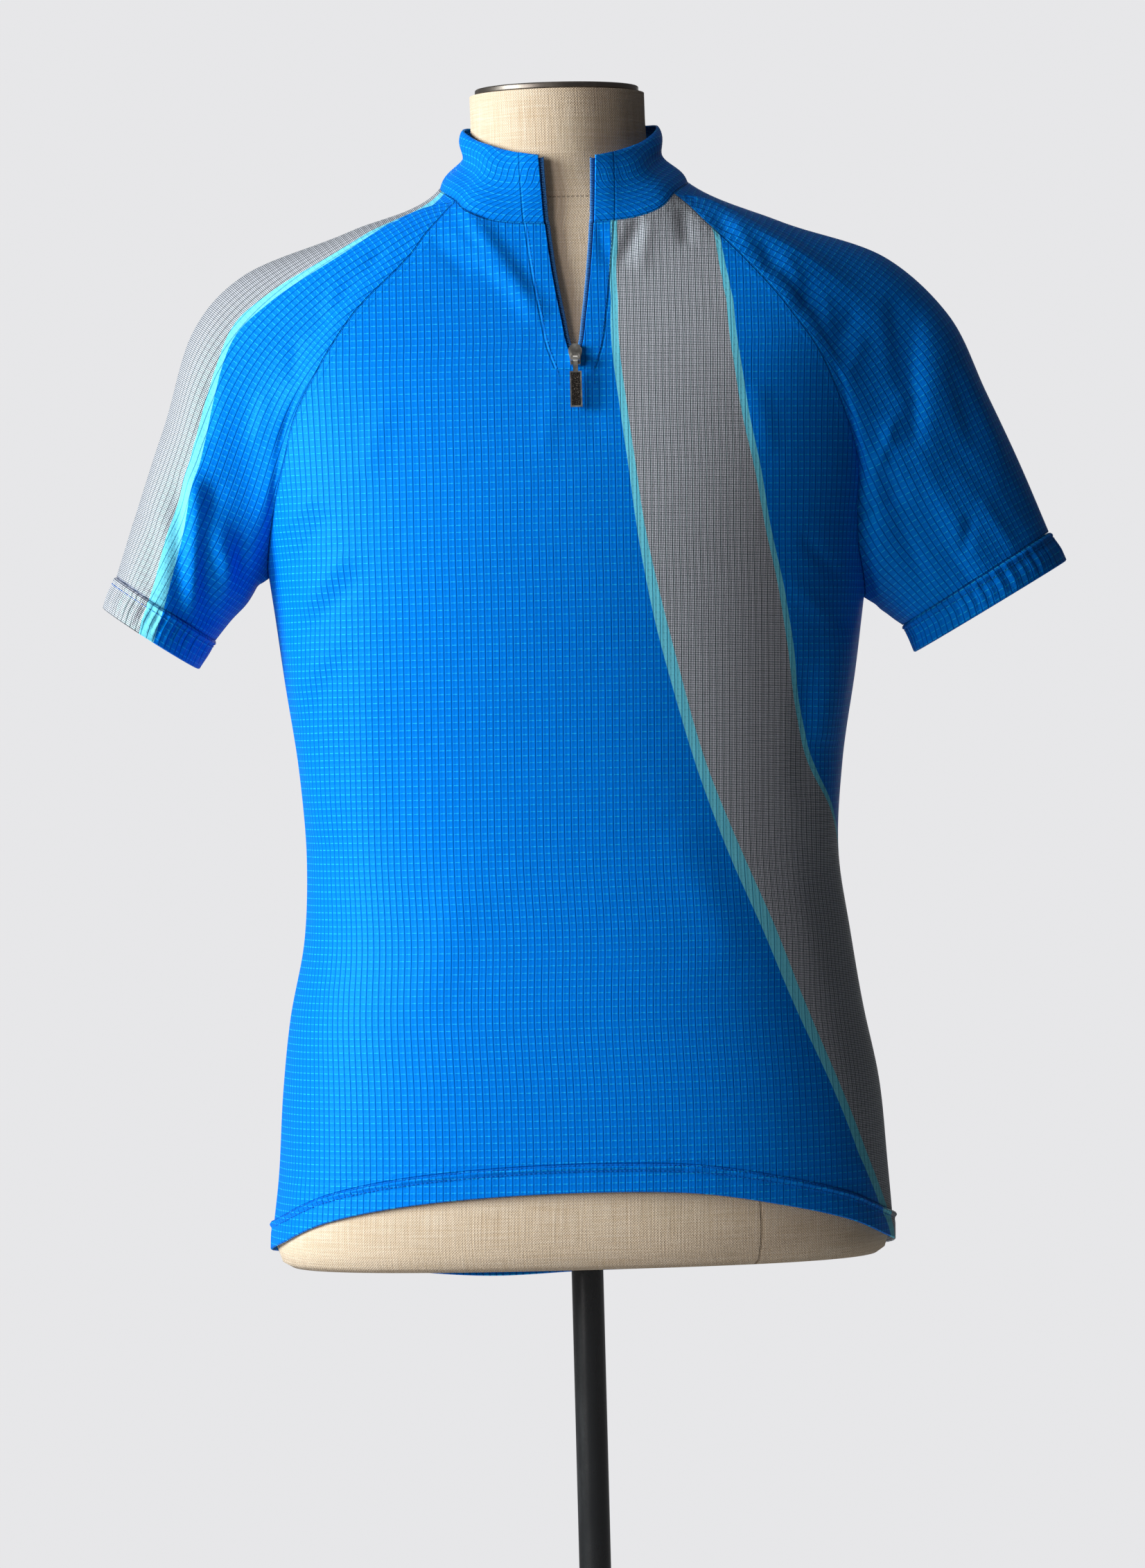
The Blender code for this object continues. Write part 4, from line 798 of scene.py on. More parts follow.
def laid_flat(points, faces, top, foot):
    """Flat lay of a sleeve's skin, turned so that the line from top to foot runs down."""
    thing = place_mesh("pattern", points, faces)
    bpy.context.view_layer.objects.active = thing
    thing.select_set(True)
    bpy.ops.object.mode_set(mode="EDIT")
    bpy.ops.mesh.select_all(action="SELECT")
    bpy.ops.uv.unwrap(method="MINIMUM_STRETCH", iterations=12, margin=0.0)
    bpy.ops.object.mode_set(mode="OBJECT")
    mesh = thing.data
    lay = np.empty(len(mesh.loops) * 2)
    mesh.uv_layers[0].data.foreach_get("uv", lay)
    flat = np.zeros((len(points), 2))
    flat[corner_points(mesh)] = lay.reshape(-1, 2)
    bpy.data.objects.remove(thing, do_unlink=True)
    shape, paper = points[faces], flat[faces]
    area = np.linalg.norm(np.cross(shape[:, 2] - shape[:, 0], shape[:, 3] - shape[:, 1]), axis=1)
    first, second = paper[:, 2] - paper[:, 0], paper[:, 3] - paper[:, 1]
    laid = np.abs(first[:, 0] * second[:, 1] - first[:, 1] * second[:, 0])
    flat = (flat - flat[foot]) * np.sqrt(area.sum() / laid.sum())
    up = unit(flat[top] - flat[foot])
    return flat @ np.array([[up[1], up[0]], [-up[0], up[1]]])


def plain_marks(count):
    """Named values of cloth that lies outside the colour band and far from the zip."""
    return {"strip": np.full(count, -FAR), "grey": np.full(count, -FAR),
            "zip": np.full(count, FAR)}


def sleeve_marks(grid, share, degrees, side):
    """Named values of a sleeve or cuff; the left one has the colour band."""
    marks = plain_marks(numbered(grid).size)
    if side == LEFT:
        rounds = grid_lengths(np.concatenate([grid, grid[:, :1]], axis=1), 1)[:, -1]
        strip, grey, grey_behind, strip_behind = smooth(share[:, None], SLEEVE_BORDERS)
        for key, low, high in (("strip", strip, strip_behind), ("grey", grey, grey_behind)):
            inside = np.minimum(degrees - low, high - degrees)
            marks[key] = (inside * np.mean(rounds) / 360).ravel()
    return marks


def sleeve(side, word, seams, coat):
    """Raglan sleeve, a tube from the raglan seam and collar to the cuff's seam."""
    rings = SLEEVE_RINGS[side]
    first = rings[0][-1] / rings[-1][-1]
    rows = np.concatenate([np.linspace(0, first, YOKE_ROWS + 1),
                           np.linspace(first, 1, SLEEVE_ROWS + 1)[1:]])
    grid, seam_normal, degrees = sleeve_points(seams, rings, side, rows)
    points, index = grid.reshape(-1, 3), numbered(grid)
    faces = grid_faces(index)[:, ::-side]
    normals = point_normals(points, loop_faces(index[:, :-1])[:, ::-side]).reshape(grid.shape)
    normals[:, -1] = normals[:, 0]
    close = np.sum(normals[0] * seam_normal, axis=1) > 0.8
    normals[0][close] = seam_normal[close]
    marks = sleeve_marks(grid, rows, degrees, side)
    marks["seam"] = edge_distance(grid, "low", "high", "start", "end").ravel()
    middle = int(np.argmin(np.abs(degrees - 180)))
    flat = laid_flat(points, faces, index[YOKE_ROWS, middle], index[-1, middle])
    return cloth(f"sleeve_{word}", points, faces, coat, flat, marks, normals.reshape(-1, 3))


def cuff_rows(side, share):
    """A cuff's rings at shares of its length."""
    rings = np.array(CUFF_RINGS[side], float)
    return read_at(share, rings[:, -1], rings)


def cuff(side, word, seams, coat):
    """Cuff band round a sleeve's end, gathered a little by its elastic."""
    degrees = ring_degrees(seams)
    share = np.array([0, 0.03, 0.06, 0.1, 0.15, 0.3, 0.45, 0.6, 0.75, 0.88, 0.95, 1.0])
    grid = np.stack([sleeve_ring(row, degrees) for row in cuff_rows(side, share)])
    ridge = 0.8 * bump(share, 0.08, 0.05) - 0.35 * bump(share, 0.2, 0.06)
    turn = np.radians(degrees)
    gather = 0.55 * np.sin(47 * turn + 1.3 * np.sin(5 * turn)) + 0.25 * np.sin(29 * turn + 2.0)
    swell = np.sin(np.pi * (0.12 + 0.88 * share[:, None]))
    out = CUFF_OUT + ridge[:, None] + gather * swell
    marks = sleeve_marks(grid, 1 + share * 0.13, degrees, side)
    marks["seam"] = edge_distance(grid, "low", "start", "end").ravel()
    flat = spread(grid, int(np.argmin(np.abs(degrees - 180))), -grid_lengths(grid, 0))
    return cloth(f"cuff_{word}", grid.reshape(-1, 3), grid_faces(numbered(grid))[:, ::-side],
                 coat, flat, marks, None, HEM_WALL, False, out.ravel())


def collar_top(angle):
    """Point on the collar's upper edge."""
    x = TOP_MIDDLE + TOP_HALF * np.sin(angle)
    y = -np.where(np.cos(angle) > 0, TOP_FRONT, TOP_BACK) * np.cos(angle)
    return np.stack([x, y, smooth(np.degrees(wrap(angle)), COLLAR_TOP)[0]], axis=-1)


def collar_point(low_angle, high_angle, share):
    """Point of the collar between its seam and its upper edge."""
    share = np.asarray(share, float)[..., None]
    low, high = jersey(low_angle, collar_seam(low_angle)), collar_top(high_angle)
    bow = np.stack([np.sin(low_angle), -np.cos(low_angle), 0 * low_angle], axis=-1)
    rise = 4 * share * (1 - share)
    waist = COLLAR_WAIST * (np.sin(low_angle) ** 2)[..., None]
    return low * (1 - share) + high * share + bow * (COLLAR_BULGE * rise - waist * rise ** 4)


def collar_ends(side):
    """Angles of the collar's front edge at its seam and at its upper edge."""
    low_height, high_height = ZIP_OPENING[-2][0], ZIP_OPENING[-1][0]
    low = angle_at(opening(low_height, side), low_height)
    return np.array([low, np.arcsin((opening(high_height, side) - TOP_MIDDLE) / TOP_HALF)])


def collar(coat):
    """Stand collar, one strip round the neck from one side of the zip to the other."""
    across = np.linspace(0, 1, COLLAR_COLUMNS + 1)
    up = np.linspace(0, 1, COLLAR_ROWS + 1)[:, None]
    low, high = (right * (1 - across) + (left + 2 * np.pi) * across
                 for left, right in zip(collar_ends(LEFT), collar_ends(RIGHT)))
    grid = collar_point(*np.broadcast_arrays(low, high, up))
    seam, zipper, top = (edge_distance(grid, *sides)
                         for sides in (("low",), ("start", "end"), ("high",)))
    wave = 0.5 * np.sin(low * 5 + 1.5) * up + 0.35 * np.sin(low * 11 + up * 3)
    roll = 0.35 * bump(top, 2.5, 2.0)
    out = placket(zipper) + roll + wave * np.clip(zipper / 25, 0, 1) * np.clip(seam / 12, 0, 1)
    flat = spread(grid, COLLAR_COLUMNS // 2, grid_lengths(grid, 0))
    marks = {**plain_marks(out.size), "seam": seam.ravel(),
             "zip": np.minimum(zipper, FAR).ravel()}
    return cloth("collar", grid.reshape(-1, 3), grid_faces(numbered(grid)), coat, flat, marks,
                 None, COLLAR_WALL, False, out.ravel())


def camera():
    """Camera where the photograph was taken from, turned by the photograph's slight lean."""
    lens = bpy.data.cameras.new("camera")
    lens.sensor_fit, lens.sensor_height = "VERTICAL", SENSOR
    lens.lens = SENSOR * PICTURE_SCALE * CAMERA_AWAY / PICTURE_ROWS
    lens.shift_y = -(PICTURE_ROWS / 2 - LEVEL_ROW) / PICTURE_ROWS
    thing = put("camera", lens)
    thing.matrix_world = (Matrix.Translation((0, -CAMERA_AWAY, LEVEL * MM))
                          @ Matrix.Rotation(np.radians(90), 4, "X")
                          @ Matrix.Rotation(np.radians(CAMERA_LEAN), 4, "Z"))
    bpy.context.scene.camera = thing


def turned_mesh(profile, steps):
    """Points and faces turned from a profile of (radius, height) round the pole's axis."""
    turn = np.linspace(0, 2 * np.pi, steps, endpoint=False)
    points = np.array([[(r * np.cos(t), r * np.sin(t), z) for t in turn] for r, z in profile])
    index = numbered(points)
    return points.reshape(-1, 3), loop_faces(index).tolist(), index


def turned(name, profile, coat, slot, node, steps=128, closed=False):
    """Turned piece of the stand, whose ends are covered unless its profile is closed."""
    points, faces, index = turned_mesh(profile, steps)
    if closed:
        faces += loop_faces(index[[-1, 0]]).tolist()
    else:
        faces += [index[0][::-1].tolist(), index[-1].tolist()]
    around = np.tile(np.arange(steps) / steps * 2 * np.pi, len(profile))
    flat = np.stack([around / MM, points[:, 2]], axis=-1)
    return ride(place_mesh(name, points, faces, coat, flat, sharp=40.0), slot, node)


def rounded(low, high, radius, edge):
    """Profile of a disc with rounded edges."""
    turn = np.linspace(0, np.pi / 2, 6)
    foot = [(radius - edge + edge * np.sin(t), low + edge - edge * np.cos(t)) for t in turn]
    top = [(radius - edge + edge * np.cos(t), high - edge + edge * np.sin(t)) for t in turn]
    return foot + top


def form_body(coat):
    """Linen-covered torso; the flat lay runs round it from the front."""
    levels = []
    for (low, *_), (high, *_) in zip(FORM_RINGS[:-1], FORM_RINGS[1:]):
        count = max(1, int((high - low) / FORM_ROW))
        levels += list(np.linspace(low, high, count, endpoint=False))
    levels = np.array(levels + [FORM_RINGS[-1][0]])
    angle, height = np.meshgrid(np.linspace(-np.pi, np.pi, FORM_COLUMNS + 1), levels)
    points = ring_point(angle, height, FORM_RINGS)
    seams = np.array(FORM_SEAMS) * 2 * np.pi / FORM_COLUMNS
    away = np.min(np.abs(angle[..., None] - seams), axis=-1) * FORM_RADIUS
    index = numbered(points)
    faces = grid_faces(index).tolist() + [index[0, :-1][::-1].tolist(), index[-1, :-1].tolist()]
    marks = {"seam": away.ravel(), "foot": (height - FORM_FOOT).ravel()}
    thing = place_mesh("form_linen", points.reshape(-1, 3) + TO_LEVEL, faces, coat,
                       spread(points, FORM_COLUMNS // 2, height), marks)
    return ride(thing, "linen", "form_body")


def zip_edge(height, side):
    """Point and outward direction on the cloth's edge beside the zip, on panel or collar."""
    seam, top = ZIP_OPENING[-2][0], ZIP_OPENING[-1][0]
    if height <= seam:
        return on_jersey(angle_at(opening(height, side), height), height)
    ends, share, step = collar_ends(side), (height - seam) / (top - seam), 0.02
    here = collar_point(*ends, share)
    there = collar_point(*(ends + step * side), share)
    above = collar_point(*ends, share + step)
    return here, unit(np.cross(there - here, above - here) * side)


def tube(points, radius, sides):
    """Points and faces of a round thread along a line."""
    along = unit(np.gradient(points, axis=0))
    guide = np.where(np.abs(along[:, [2]]) < 0.9, [[0, 0, 1.0]], [[0, 1.0, 0]])
    first = unit(np.cross(along, guide))
    second = np.cross(along, first)
    turn = np.linspace(0, 2 * np.pi, sides, endpoint=False)[None, :, None]
    radius = np.broadcast_to(radius, len(points))[:, None, None]
    ring = points[:, None] + radius * (first[:, None] * np.cos(turn)
                                       + second[:, None] * np.sin(turn))
    return ring.reshape(-1, 3), loop_faces(numbered(ring))


def zip_tape(side, word, tape_coat, coil_coat):
    """Woven tape with the coil's turns along the opening."""
    heights = np.linspace(TAPE_FROM, ZIP_OPENING[-1][0] - TAPE_SHORT, TAPE_STEPS)
    edge = [zip_edge(height, side) for height in heights]
    points, normals = (np.array([found[k] for found in edge]) for k in (0, 1))
    inward = unit(np.cross(normals, unit(np.gradient(points, axis=0)))) * side
    points = points + TO_LEVEL
    ring = np.stack([points + inward * across - normals * deep
                     for across, deep in TAPE_PROFILE], 1)
    index, long = numbered(ring), lengths(points)
    faces = loop_faces(index).tolist() + [index[0].tolist(), index[-1][::-1].tolist()]
    flat = pairs(np.array(TAPE_PROFILE)[None, :, 0], long[:, None]).reshape(-1, 2)
    ride(place_mesh(f"woven_{word}", ring.reshape(-1, 3), faces, tape_coat, flat), "tape",
         f"zip_tape_{word}")
    turns = int(long[-1] / COIL_PITCH)
    share = np.linspace(0, 1, turns * COIL_STEPS + 1)
    points, inward, normals = (read_at(share, np.linspace(0, 1, len(long)), values)
                               for values in (points, inward, normals))
    turn = (share * turns * 2 * np.pi)[:, None]
    coil = (points + inward * (COIL_IN + COIL_WIDE * np.cos(turn))
            + normals * (COIL_HIGH * np.sin(turn) - COIL_DEEP))
    ride(place_mesh(f"coil_woven_{word}", *tube(coil, COIL_THREAD, 6), coil_coat, sharp=80.0),
         "blue")


def stitches(name, points, normals, out, coat, pitch=3.0, length=2.2, radius=0.22):
    """Row of thread stitches along a line on the cloth, standing a little off it."""
    points = points + normals * np.reshape(out, (-1, 1)) + TO_LEVEL
    total = lengths(points)
    share = np.array([0.0, 0.12, 0.5, 0.88, 1.0])
    thick = radius * np.array([0.35, 0.9, 1.0, 0.9, 0.35])
    rise = radius * np.array([-0.6, 0.2, 0.5, 0.2, -0.6])
    everything, faces = [], []
    for start in np.arange(0.5, total[-1] - length, pitch):
        at = start + share * length
        line = read_at(at, total, points) + read_at(at, total, normals) * rise[:, None]
        ring, sides = tube(line, thick, 5)
        faces.append(sides + len(everything) * len(ring))
        everything.append(ring)
    thing = place_mesh(name, np.vstack(everything), np.vstack(faces), coat, sharp=80.0)
    return ride(thing, "blue")


def hem_stitches(coat):
    """Two rows of stitches round the hem."""
    angle = np.linspace(-np.pi, np.pi, 700)
    for name, up, out in HEM_STITCHES:
        stitches(name, *on_jersey(angle, hem_edge(angle) + up * HEM_HEIGHT), out, coat)


def placket_stitches(side, word, coat):
    """Row of stitches beside the zip, which follows the folds."""
    heights = np.linspace(PLACKET_STITCHES_FROM, ZIP_OPENING[-2][0] - 1.5, 60)
    x = opening(np.maximum(heights, ZIP_FOOT), side) + side * PLACKET_STITCHES_AWAY
    points, normals = on_jersey(angle_at(x, heights), heights)
    stitches(f"placket_stitches_{word}", points, normals, fold_lift(points, normals) + 0.5, coat,
             2.6, 1.9, 0.18)


def cuff_stitches(side, word, coat):
    """Row of stitches round a cuff."""
    points = sleeve_ring(cuff_rows(side, [CUFF_STITCHES_AT])[0], np.linspace(0, 360, 300))
    away = points - points.mean(axis=0)
    axis = unit(np.cross(away[0], away[75]))
    normals = unit(away - (away @ axis)[:, None] * axis)
    stitches(f"cuff_stitches_{word}", points, normals, CUFF_STITCHES_OUT, coat)


def tab_place():
    """Matrix of the pull tab's own frame: X right, Y into the cloth, Z up, on the pin's axis."""
    point, normal = on_jersey(angle_at(opening(SLIDER_HEIGHT, 0), SLIDER_HEIGHT), SLIDER_HEIGHT)
    inward = unit(np.array([0.0, -normal[1], -normal[2]]))
    right = np.array([1.0, 0.0, 0.0])
    up = np.cross(right, inward)
    pin = point + TO_LEVEL - inward * PIN_OUT + up * PIN_UP
    place = Matrix([*np.column_stack([right, inward, up, pin]).tolist(), (0.0, 0.0, 0.0, 1.0)])
    return place @ Matrix.Rotation(np.radians(TAB_LEAN), 4, "X")


def tab_inlay(coat):
    """Dark panel in the pull tab's recess."""
    side, low, high = INLAY_HALF, INLAY_FOOT, INLAY_HEAD
    corners = [(across, deep, up) for deep in (INLAY_FRONT, INLAY_BACK)
               for across, up in ((-side, low), (side, low), (side, high), (-side, high))]
    place = tab_place()
    points = [tuple(place @ Vector(corner)) for corner in corners]
    faces = [[0, 1, 2, 3], [7, 6, 5, 4], [0, 4, 5, 1], [1, 5, 6, 2], [2, 6, 7, 3], [3, 7, 4, 0]]
    thing = place_mesh("tab_inlay", points, faces, coat, sharp=30.0)
    soft = thing.modifiers.new("soft_edges", "BEVEL")
    soft.width, soft.segments = 0.00006, 2
    return ride(thing, "metal", body="pull_tab_body")


class Shade:
    """What a shader node gives; arithmetic on it adds the nodes that work it out."""

    def __init__(self, paint, socket):
        self.paint, self.socket = paint, socket

    def maths(self, operation, *others, swapped=False):
        terms = (*others, self) if swapped else (self, *others)
        return self.paint.node("ShaderNodeMath", {"operation": operation}, dict(enumerate(terms)))

    def __add__(self, other):
        return self.maths("ADD", other)

    def __sub__(self, other):
        return self.maths("SUBTRACT", other)

    def __rsub__(self, other):
        return self.maths("SUBTRACT", other, swapped=True)

    def __mul__(self, other):
        return self.maths("MULTIPLY", other)

    def __truediv__(self, other):
        return self.maths("DIVIDE", other)

    __radd__, __rmul__ = __add__, __mul__

    def wave(self):
        return self.maths("SINE")

    def size(self):
        return self.maths("ABSOLUTE")

    def from_line(self):
        """Distance from the nearest whole number."""
        return ((self + 0.5).maths("FRACT") - 0.5).size()

    def rise(self, low, high):
        """Smooth step from 0 at low to 1 at high."""
        return self.paint.node("ShaderNodeMapRange", {"interpolation_type": "SMOOTHSTEP"},
                               {"Value": self, "From Min": low, "From Max": high})


class Paint:
    """Material, or the surround, in the making."""

    def __init__(self, name, library="materials", shader="Principled BSDF"):
        self.made = getattr(bpy.data, library).new(name)
        self.made.use_nodes = True
        self.tree = self.made.node_tree
        self.shader = self.tree.nodes[shader]

    def node(self, kind, settings=None, inputs=None, output=0):
        made = self.tree.nodes.new(kind)
        for key, value in (settings or {}).items():
            setattr(made, key, value)
        self.fill(made, inputs or {})
        return Shade(self, made.outputs[output])

    def fill(self, made, inputs):
        for key, value in inputs.items():
            if isinstance(value, Shade):
                self.tree.links.new(value.socket, made.inputs[key])
            else:
                made.inputs[key].default_value = value

    def mix(self, share, first, second):
        return self.node("ShaderNodeMix", {"data_type": "RGBA"},
                         {0: share, 6: first, 7: second}, 2)

    def lay(self):
        """Place on the flat lay, in metres, and its two distances."""
        lay = self.node("ShaderNodeUVMap", {"uv_map": "flat"})
        return lay, *(self.node("ShaderNodeSeparateXYZ", {}, {0: lay}, axis) for axis in "XY")

    def place(self):
        """Place in the object's own frame, in metres."""
        return self.node("ShaderNodeTexCoord", {}, {}, "Object")

    def mark(self, name):
        return self.node("ShaderNodeAttribute", {"attribute_name": name}, {}, "Fac")

    def noise(self, place, scale, detail=3.0, rough=0.5):
        return self.node("ShaderNodeTexNoise", {}, {"Vector": place, "Scale": scale,
                                                    "Detail": detail, "Roughness": rough})

    def stretched(self, place, x, y, z=1.0):
        return self.node("ShaderNodeVectorMath", {"operation": "MULTIPLY"},
                         {0: place, 1: (x, y, z)})

    def away(self, place):
        """Distance from the object's own origin."""
        return self.node("ShaderNodeVectorMath", {"operation": "LENGTH"}, {0: place}, "Value")

    def done(self, height=None, **surface):
        """The material, with the relief's height in millimetres and the surface's sockets."""
        if height is not None:
            surface["Normal"] = self.node("ShaderNodeBump", {}, {
                "Height": height, "Distance": MM, "Strength": 1.0})
        self.fill(self.shader, {key.replace("_", " "): value for key, value in surface.items()})
        return self.made


def tone(red, green, blue):
    """Colour from its 0 to 255 values, as a shader takes it."""
    share = np.array([red, green, blue]) / 255
    linear = np.where(share <= 0.04045, share / 12.92, ((share + 0.055) / 1.055) ** 2.4)
    return (*linear.tolist(), 1.0)


def knit_coat():
    """Blue grid knit with the printed colour band, sewn seams and the placket's fold line, painted
    shade in its grooves and a painted highlight on its cross lines.
    """
    paint = Paint("grid_knit")
    lay, x, y = paint.lay()
    column, row = (x / GRID_PITCH).from_line(), (y / GRID_PITCH).from_line()
    groove = 1.0 - column.rise(0.03, 0.10)
    line = (1.0 - row.rise(0.02, 0.10)) * column.rise(0.10, 0.22)
    # uneven wear in the roughness, and the uneven strength of the painted highlight on the cross
    # lines
    wear_and_glint = paint.noise(lay, 180.0, 2.0)
    loops = (x * 5200.0).wave() * (y * 6400.0).wave()
    strip, grey = (paint.mark(name).rise(-0.0002, 0.0002) for name in ("strip", "grey"))
    seam, zipper = paint.mark("seam"), paint.mark("zip")
    blue = paint.mix(paint.noise(lay, 9.0, 3.0), tone(0, 105, 211), tone(0, 113, 219))
    # painted shade: the grid's grooves are darkened in the blue
    blue = paint.mix(groove * 0.5, blue, tone(0, 40, 120))
    # painted highlight: the knit's raised cross lines are lighter, as where they catch the light
    blue = paint.mix(line * (1.2 * wear_and_glint), blue, tone(36, 184, 242))
    # painted shade in the grooves of the cyan edging
    cyan = paint.mix(groove * 0.7, tone(108, 200, 224), tone(40, 120, 165))
    dots = (x * DOT_TURN).wave() - (y * DOT_TURN).wave()
    check = paint.mix(dots.rise(-0.75, 0.85), tone(52, 50, 58), tone(206, 206, 216))
    # painted shade in the grooves of the grey check
    check = paint.mix(groove * 0.7, check, tone(44, 42, 48))
    colour = paint.mix(grey, paint.mix(strip, blue, cyan), check)
    sewn = 1.0 - seam.rise(0.0003, 0.0011)
    dome = (1.0 - column * column * 4.0) * (1.0 - row * row * 4.0)
    allowance = 1.0 - seam.rise(0.0042, 0.0056)
    tuck = 1.0 - (seam - 0.0018).size().rise(0.0, 0.0009)
    pucker = (paint.noise(lay, 260.0, 2.0) - 0.5) * (1.0 - seam.rise(0.001, 0.012))
    fold_line = 1.0 - (zipper - FOLD_LINE).size().rise(0.0002, 0.0009)
    colour = paint.mix((sewn + fold_line) * 0.3, colour, tone(0, 44, 110))
    height = (dome * 0.16 - groove * 0.22 + line * 0.14 + loops * 0.02 + allowance * 0.13
              - tuck * 0.06 + pucker * 0.5 - sewn * 0.5 - fold_line * 0.3
              + paint.noise(lay, 60.0, 2.0) * 0.35)
    return paint.done(height, Base_Color=colour, Roughness=0.46 + groove * 0.2 + wear_and_glint * 0.12,
                      Specular_IOR_Level=0.28, Specular_Tint=(0.0, 1.0, 0.85, 1.0))


def grained_coat(name, scale, detail, relief, dark, light, rough, gloss):
    """Thread or nylon with a fine grain in its colour and relief."""
    paint = Paint(name)
    grain = paint.noise(paint.place(), scale, detail)
    return paint.done(grain * relief, Base_Color=paint.mix(grain, tone(*dark), tone(*light)),
                      Roughness=rough, Specular_IOR_Level=gloss)


def tape_coat():
    """Close plain weave of the zip's tape."""
    paint = Paint("zip_tape_weave")
    lay, x, y = paint.lay()
    weave = (x * 7800.0).wave() * (y * 7800.0).wave()
    grain = paint.noise(lay, 700.0, 2.0)
    colour = paint.mix(grain, tone(8, 44, 96), tone(16, 76, 150))
    return paint.done(weave * 0.12 + grain * 0.05, Base_Color=colour, Roughness=0.75,
                      Sheen_Weight=0.1)


def linen_coat():
    """Plain weave with uneven threads, slubs and sewn panel seams."""
    paint = Paint("linen_weave")
    lay, x, y = paint.lay()
    bend = paint.noise(lay, 40.0, 2.0) - 0.5
    over, up = x / THREAD_PITCH + bend * 0.8, y / THREAD_PITCH + bend * 0.6
    warp, weft = (over * 3.14159).wave(), (up * 3.14159).wave()
    weave = warp * warp * 0.5 + weft * weft * 0.5 + warp * weft * 0.5
    slub = (paint.noise(paint.stretched(lay, 900.0, 26.0), 1.0, 2.0) * 0.5
            + paint.noise(paint.stretched(lay, 26.0, 900.0), 1.0, 2.0) * 0.5)
    blot = paint.noise(lay, 14.0, 4.0, 0.6)
    seam, foot = paint.mark("seam"), paint.mark("foot")
    colour = paint.mix(slub.rise(0.25, 0.75), tone(212, 186, 156), tone(242, 222, 200))
    colour = paint.mix(weave.rise(0.1, 0.75), paint.mix(0.5, colour, tone(140, 114, 86)), colour)
    colour = paint.mix(blot.rise(0.4, 0.75) * 0.25, colour, tone(186, 168, 144))
    neck_row = 1.0 - (foot - NECK_STITCH).size().rise(0.0002, 0.0005)
    dashes = neck_row * (x / DASH_PITCH).from_line().rise(0.12, 0.2)
    below_neck = 1.0 - foot.rise(NECK_STITCH - 0.002, NECK_STITCH)
    sewn = (1.0 - seam.rise(0.0004, 0.0009)) * 0.9 * below_neck + dashes
    edge = 1.0 - foot.rise(0.0010, 0.0045)
    colour = paint.mix(sewn * 0.55 + edge * 0.45, colour, tone(112, 88, 62))
    height = weave * 0.22 + slub * 0.5 - sewn * 0.5 + blot * 0.2
    return paint.done(height, Base_Color=colour, Roughness=0.9, Sheen_Weight=0.1,
                      Sheen_Roughness=0.6, Specular_IOR_Level=0.25)


def metal_coat():
    """Plated zip metal, a little scratched and dull in places."""
    paint = Paint("zip_metal")
    place = paint.place()
    scratch = paint.noise(paint.stretched(place, 300.0, 300.0, 2400.0), 1.0, 3.0)
    wear = paint.noise(place, 160.0, 3.0)
    colour = paint.mix(wear.rise(0.35, 0.75), tone(150, 146, 140), tone(236, 233, 226))
    return paint.done(scratch * 0.015, Base_Color=colour, Metallic=1.0,
                      Roughness=0.2 + scratch * 0.2)


def inlay_coat():
    """Dark stippled metal in the pull tab's recess."""
    paint = Paint("dark_stipple")
    grain = paint.noise(paint.place(), 1500.0, 3.0, 0.7)
    colour = paint.mix(grain.rise(0.5, 0.72), tone(34, 29, 26), tone(138, 128, 118))
    return paint.done(grain * 0.12, Base_Color=colour, Metallic=0.8, Roughness=0.34 + grain * 0.2)


def cap_coat():
    """Dark brushed disc, turned in rings."""
    paint = Paint("brushed_cap")
    place = paint.place()
    out = paint.away(paint.stretched(place, 1.0, 1.0, 0.0))
    rings = paint.noise(paint.node("ShaderNodeCombineXYZ", {}, {0: out * 2400.0}), 1.0, 3.0)
    blot = paint.noise(place, 60.0, 4.0)
    colour = paint.mix(rings, tone(58, 52, 48), tone(120, 112, 106))
    colour = paint.mix(blot.rise(0.45, 0.8) * 0.4, colour, tone(168, 158, 146))
    return paint.done(rings * 0.03, Base_Color=colour, Metallic=0.85,
                      Roughness=0.26 + rings * 0.25)


def lacquer_coat():
    """Gloss black lacquer with fine orange peel and a few rubbed marks."""
    paint = Paint("black_lacquer")
    place = paint.place()
    rub = paint.noise(paint.stretched(place, 60.0, 60.0, 12.0), 1.0, 5.0, 0.65)
    colour = paint.mix(rub.rise(0.5, 0.8), tone(24, 25, 27), tone(46, 47, 50))
    return paint.done(paint.noise(place, 420.0, 2.0) * 0.03, Base_Color=colour,
                      Roughness=0.16 + rub * 0.22, Coat_Weight=0.5)


def floor_coat():
    """Pale matt floor that fades out away from the stand."""
    paint = Paint("floor")
    place = paint.place()
    colour = paint.mix(paint.noise(place, 3.0, 4.0), tone(224, 224, 226), tone(232, 232, 233))
    return paint.done(None, Base_Color=colour, Roughness=0.8,
                      Alpha=1.0 - paint.away(place).rise(0.6, 2.7))


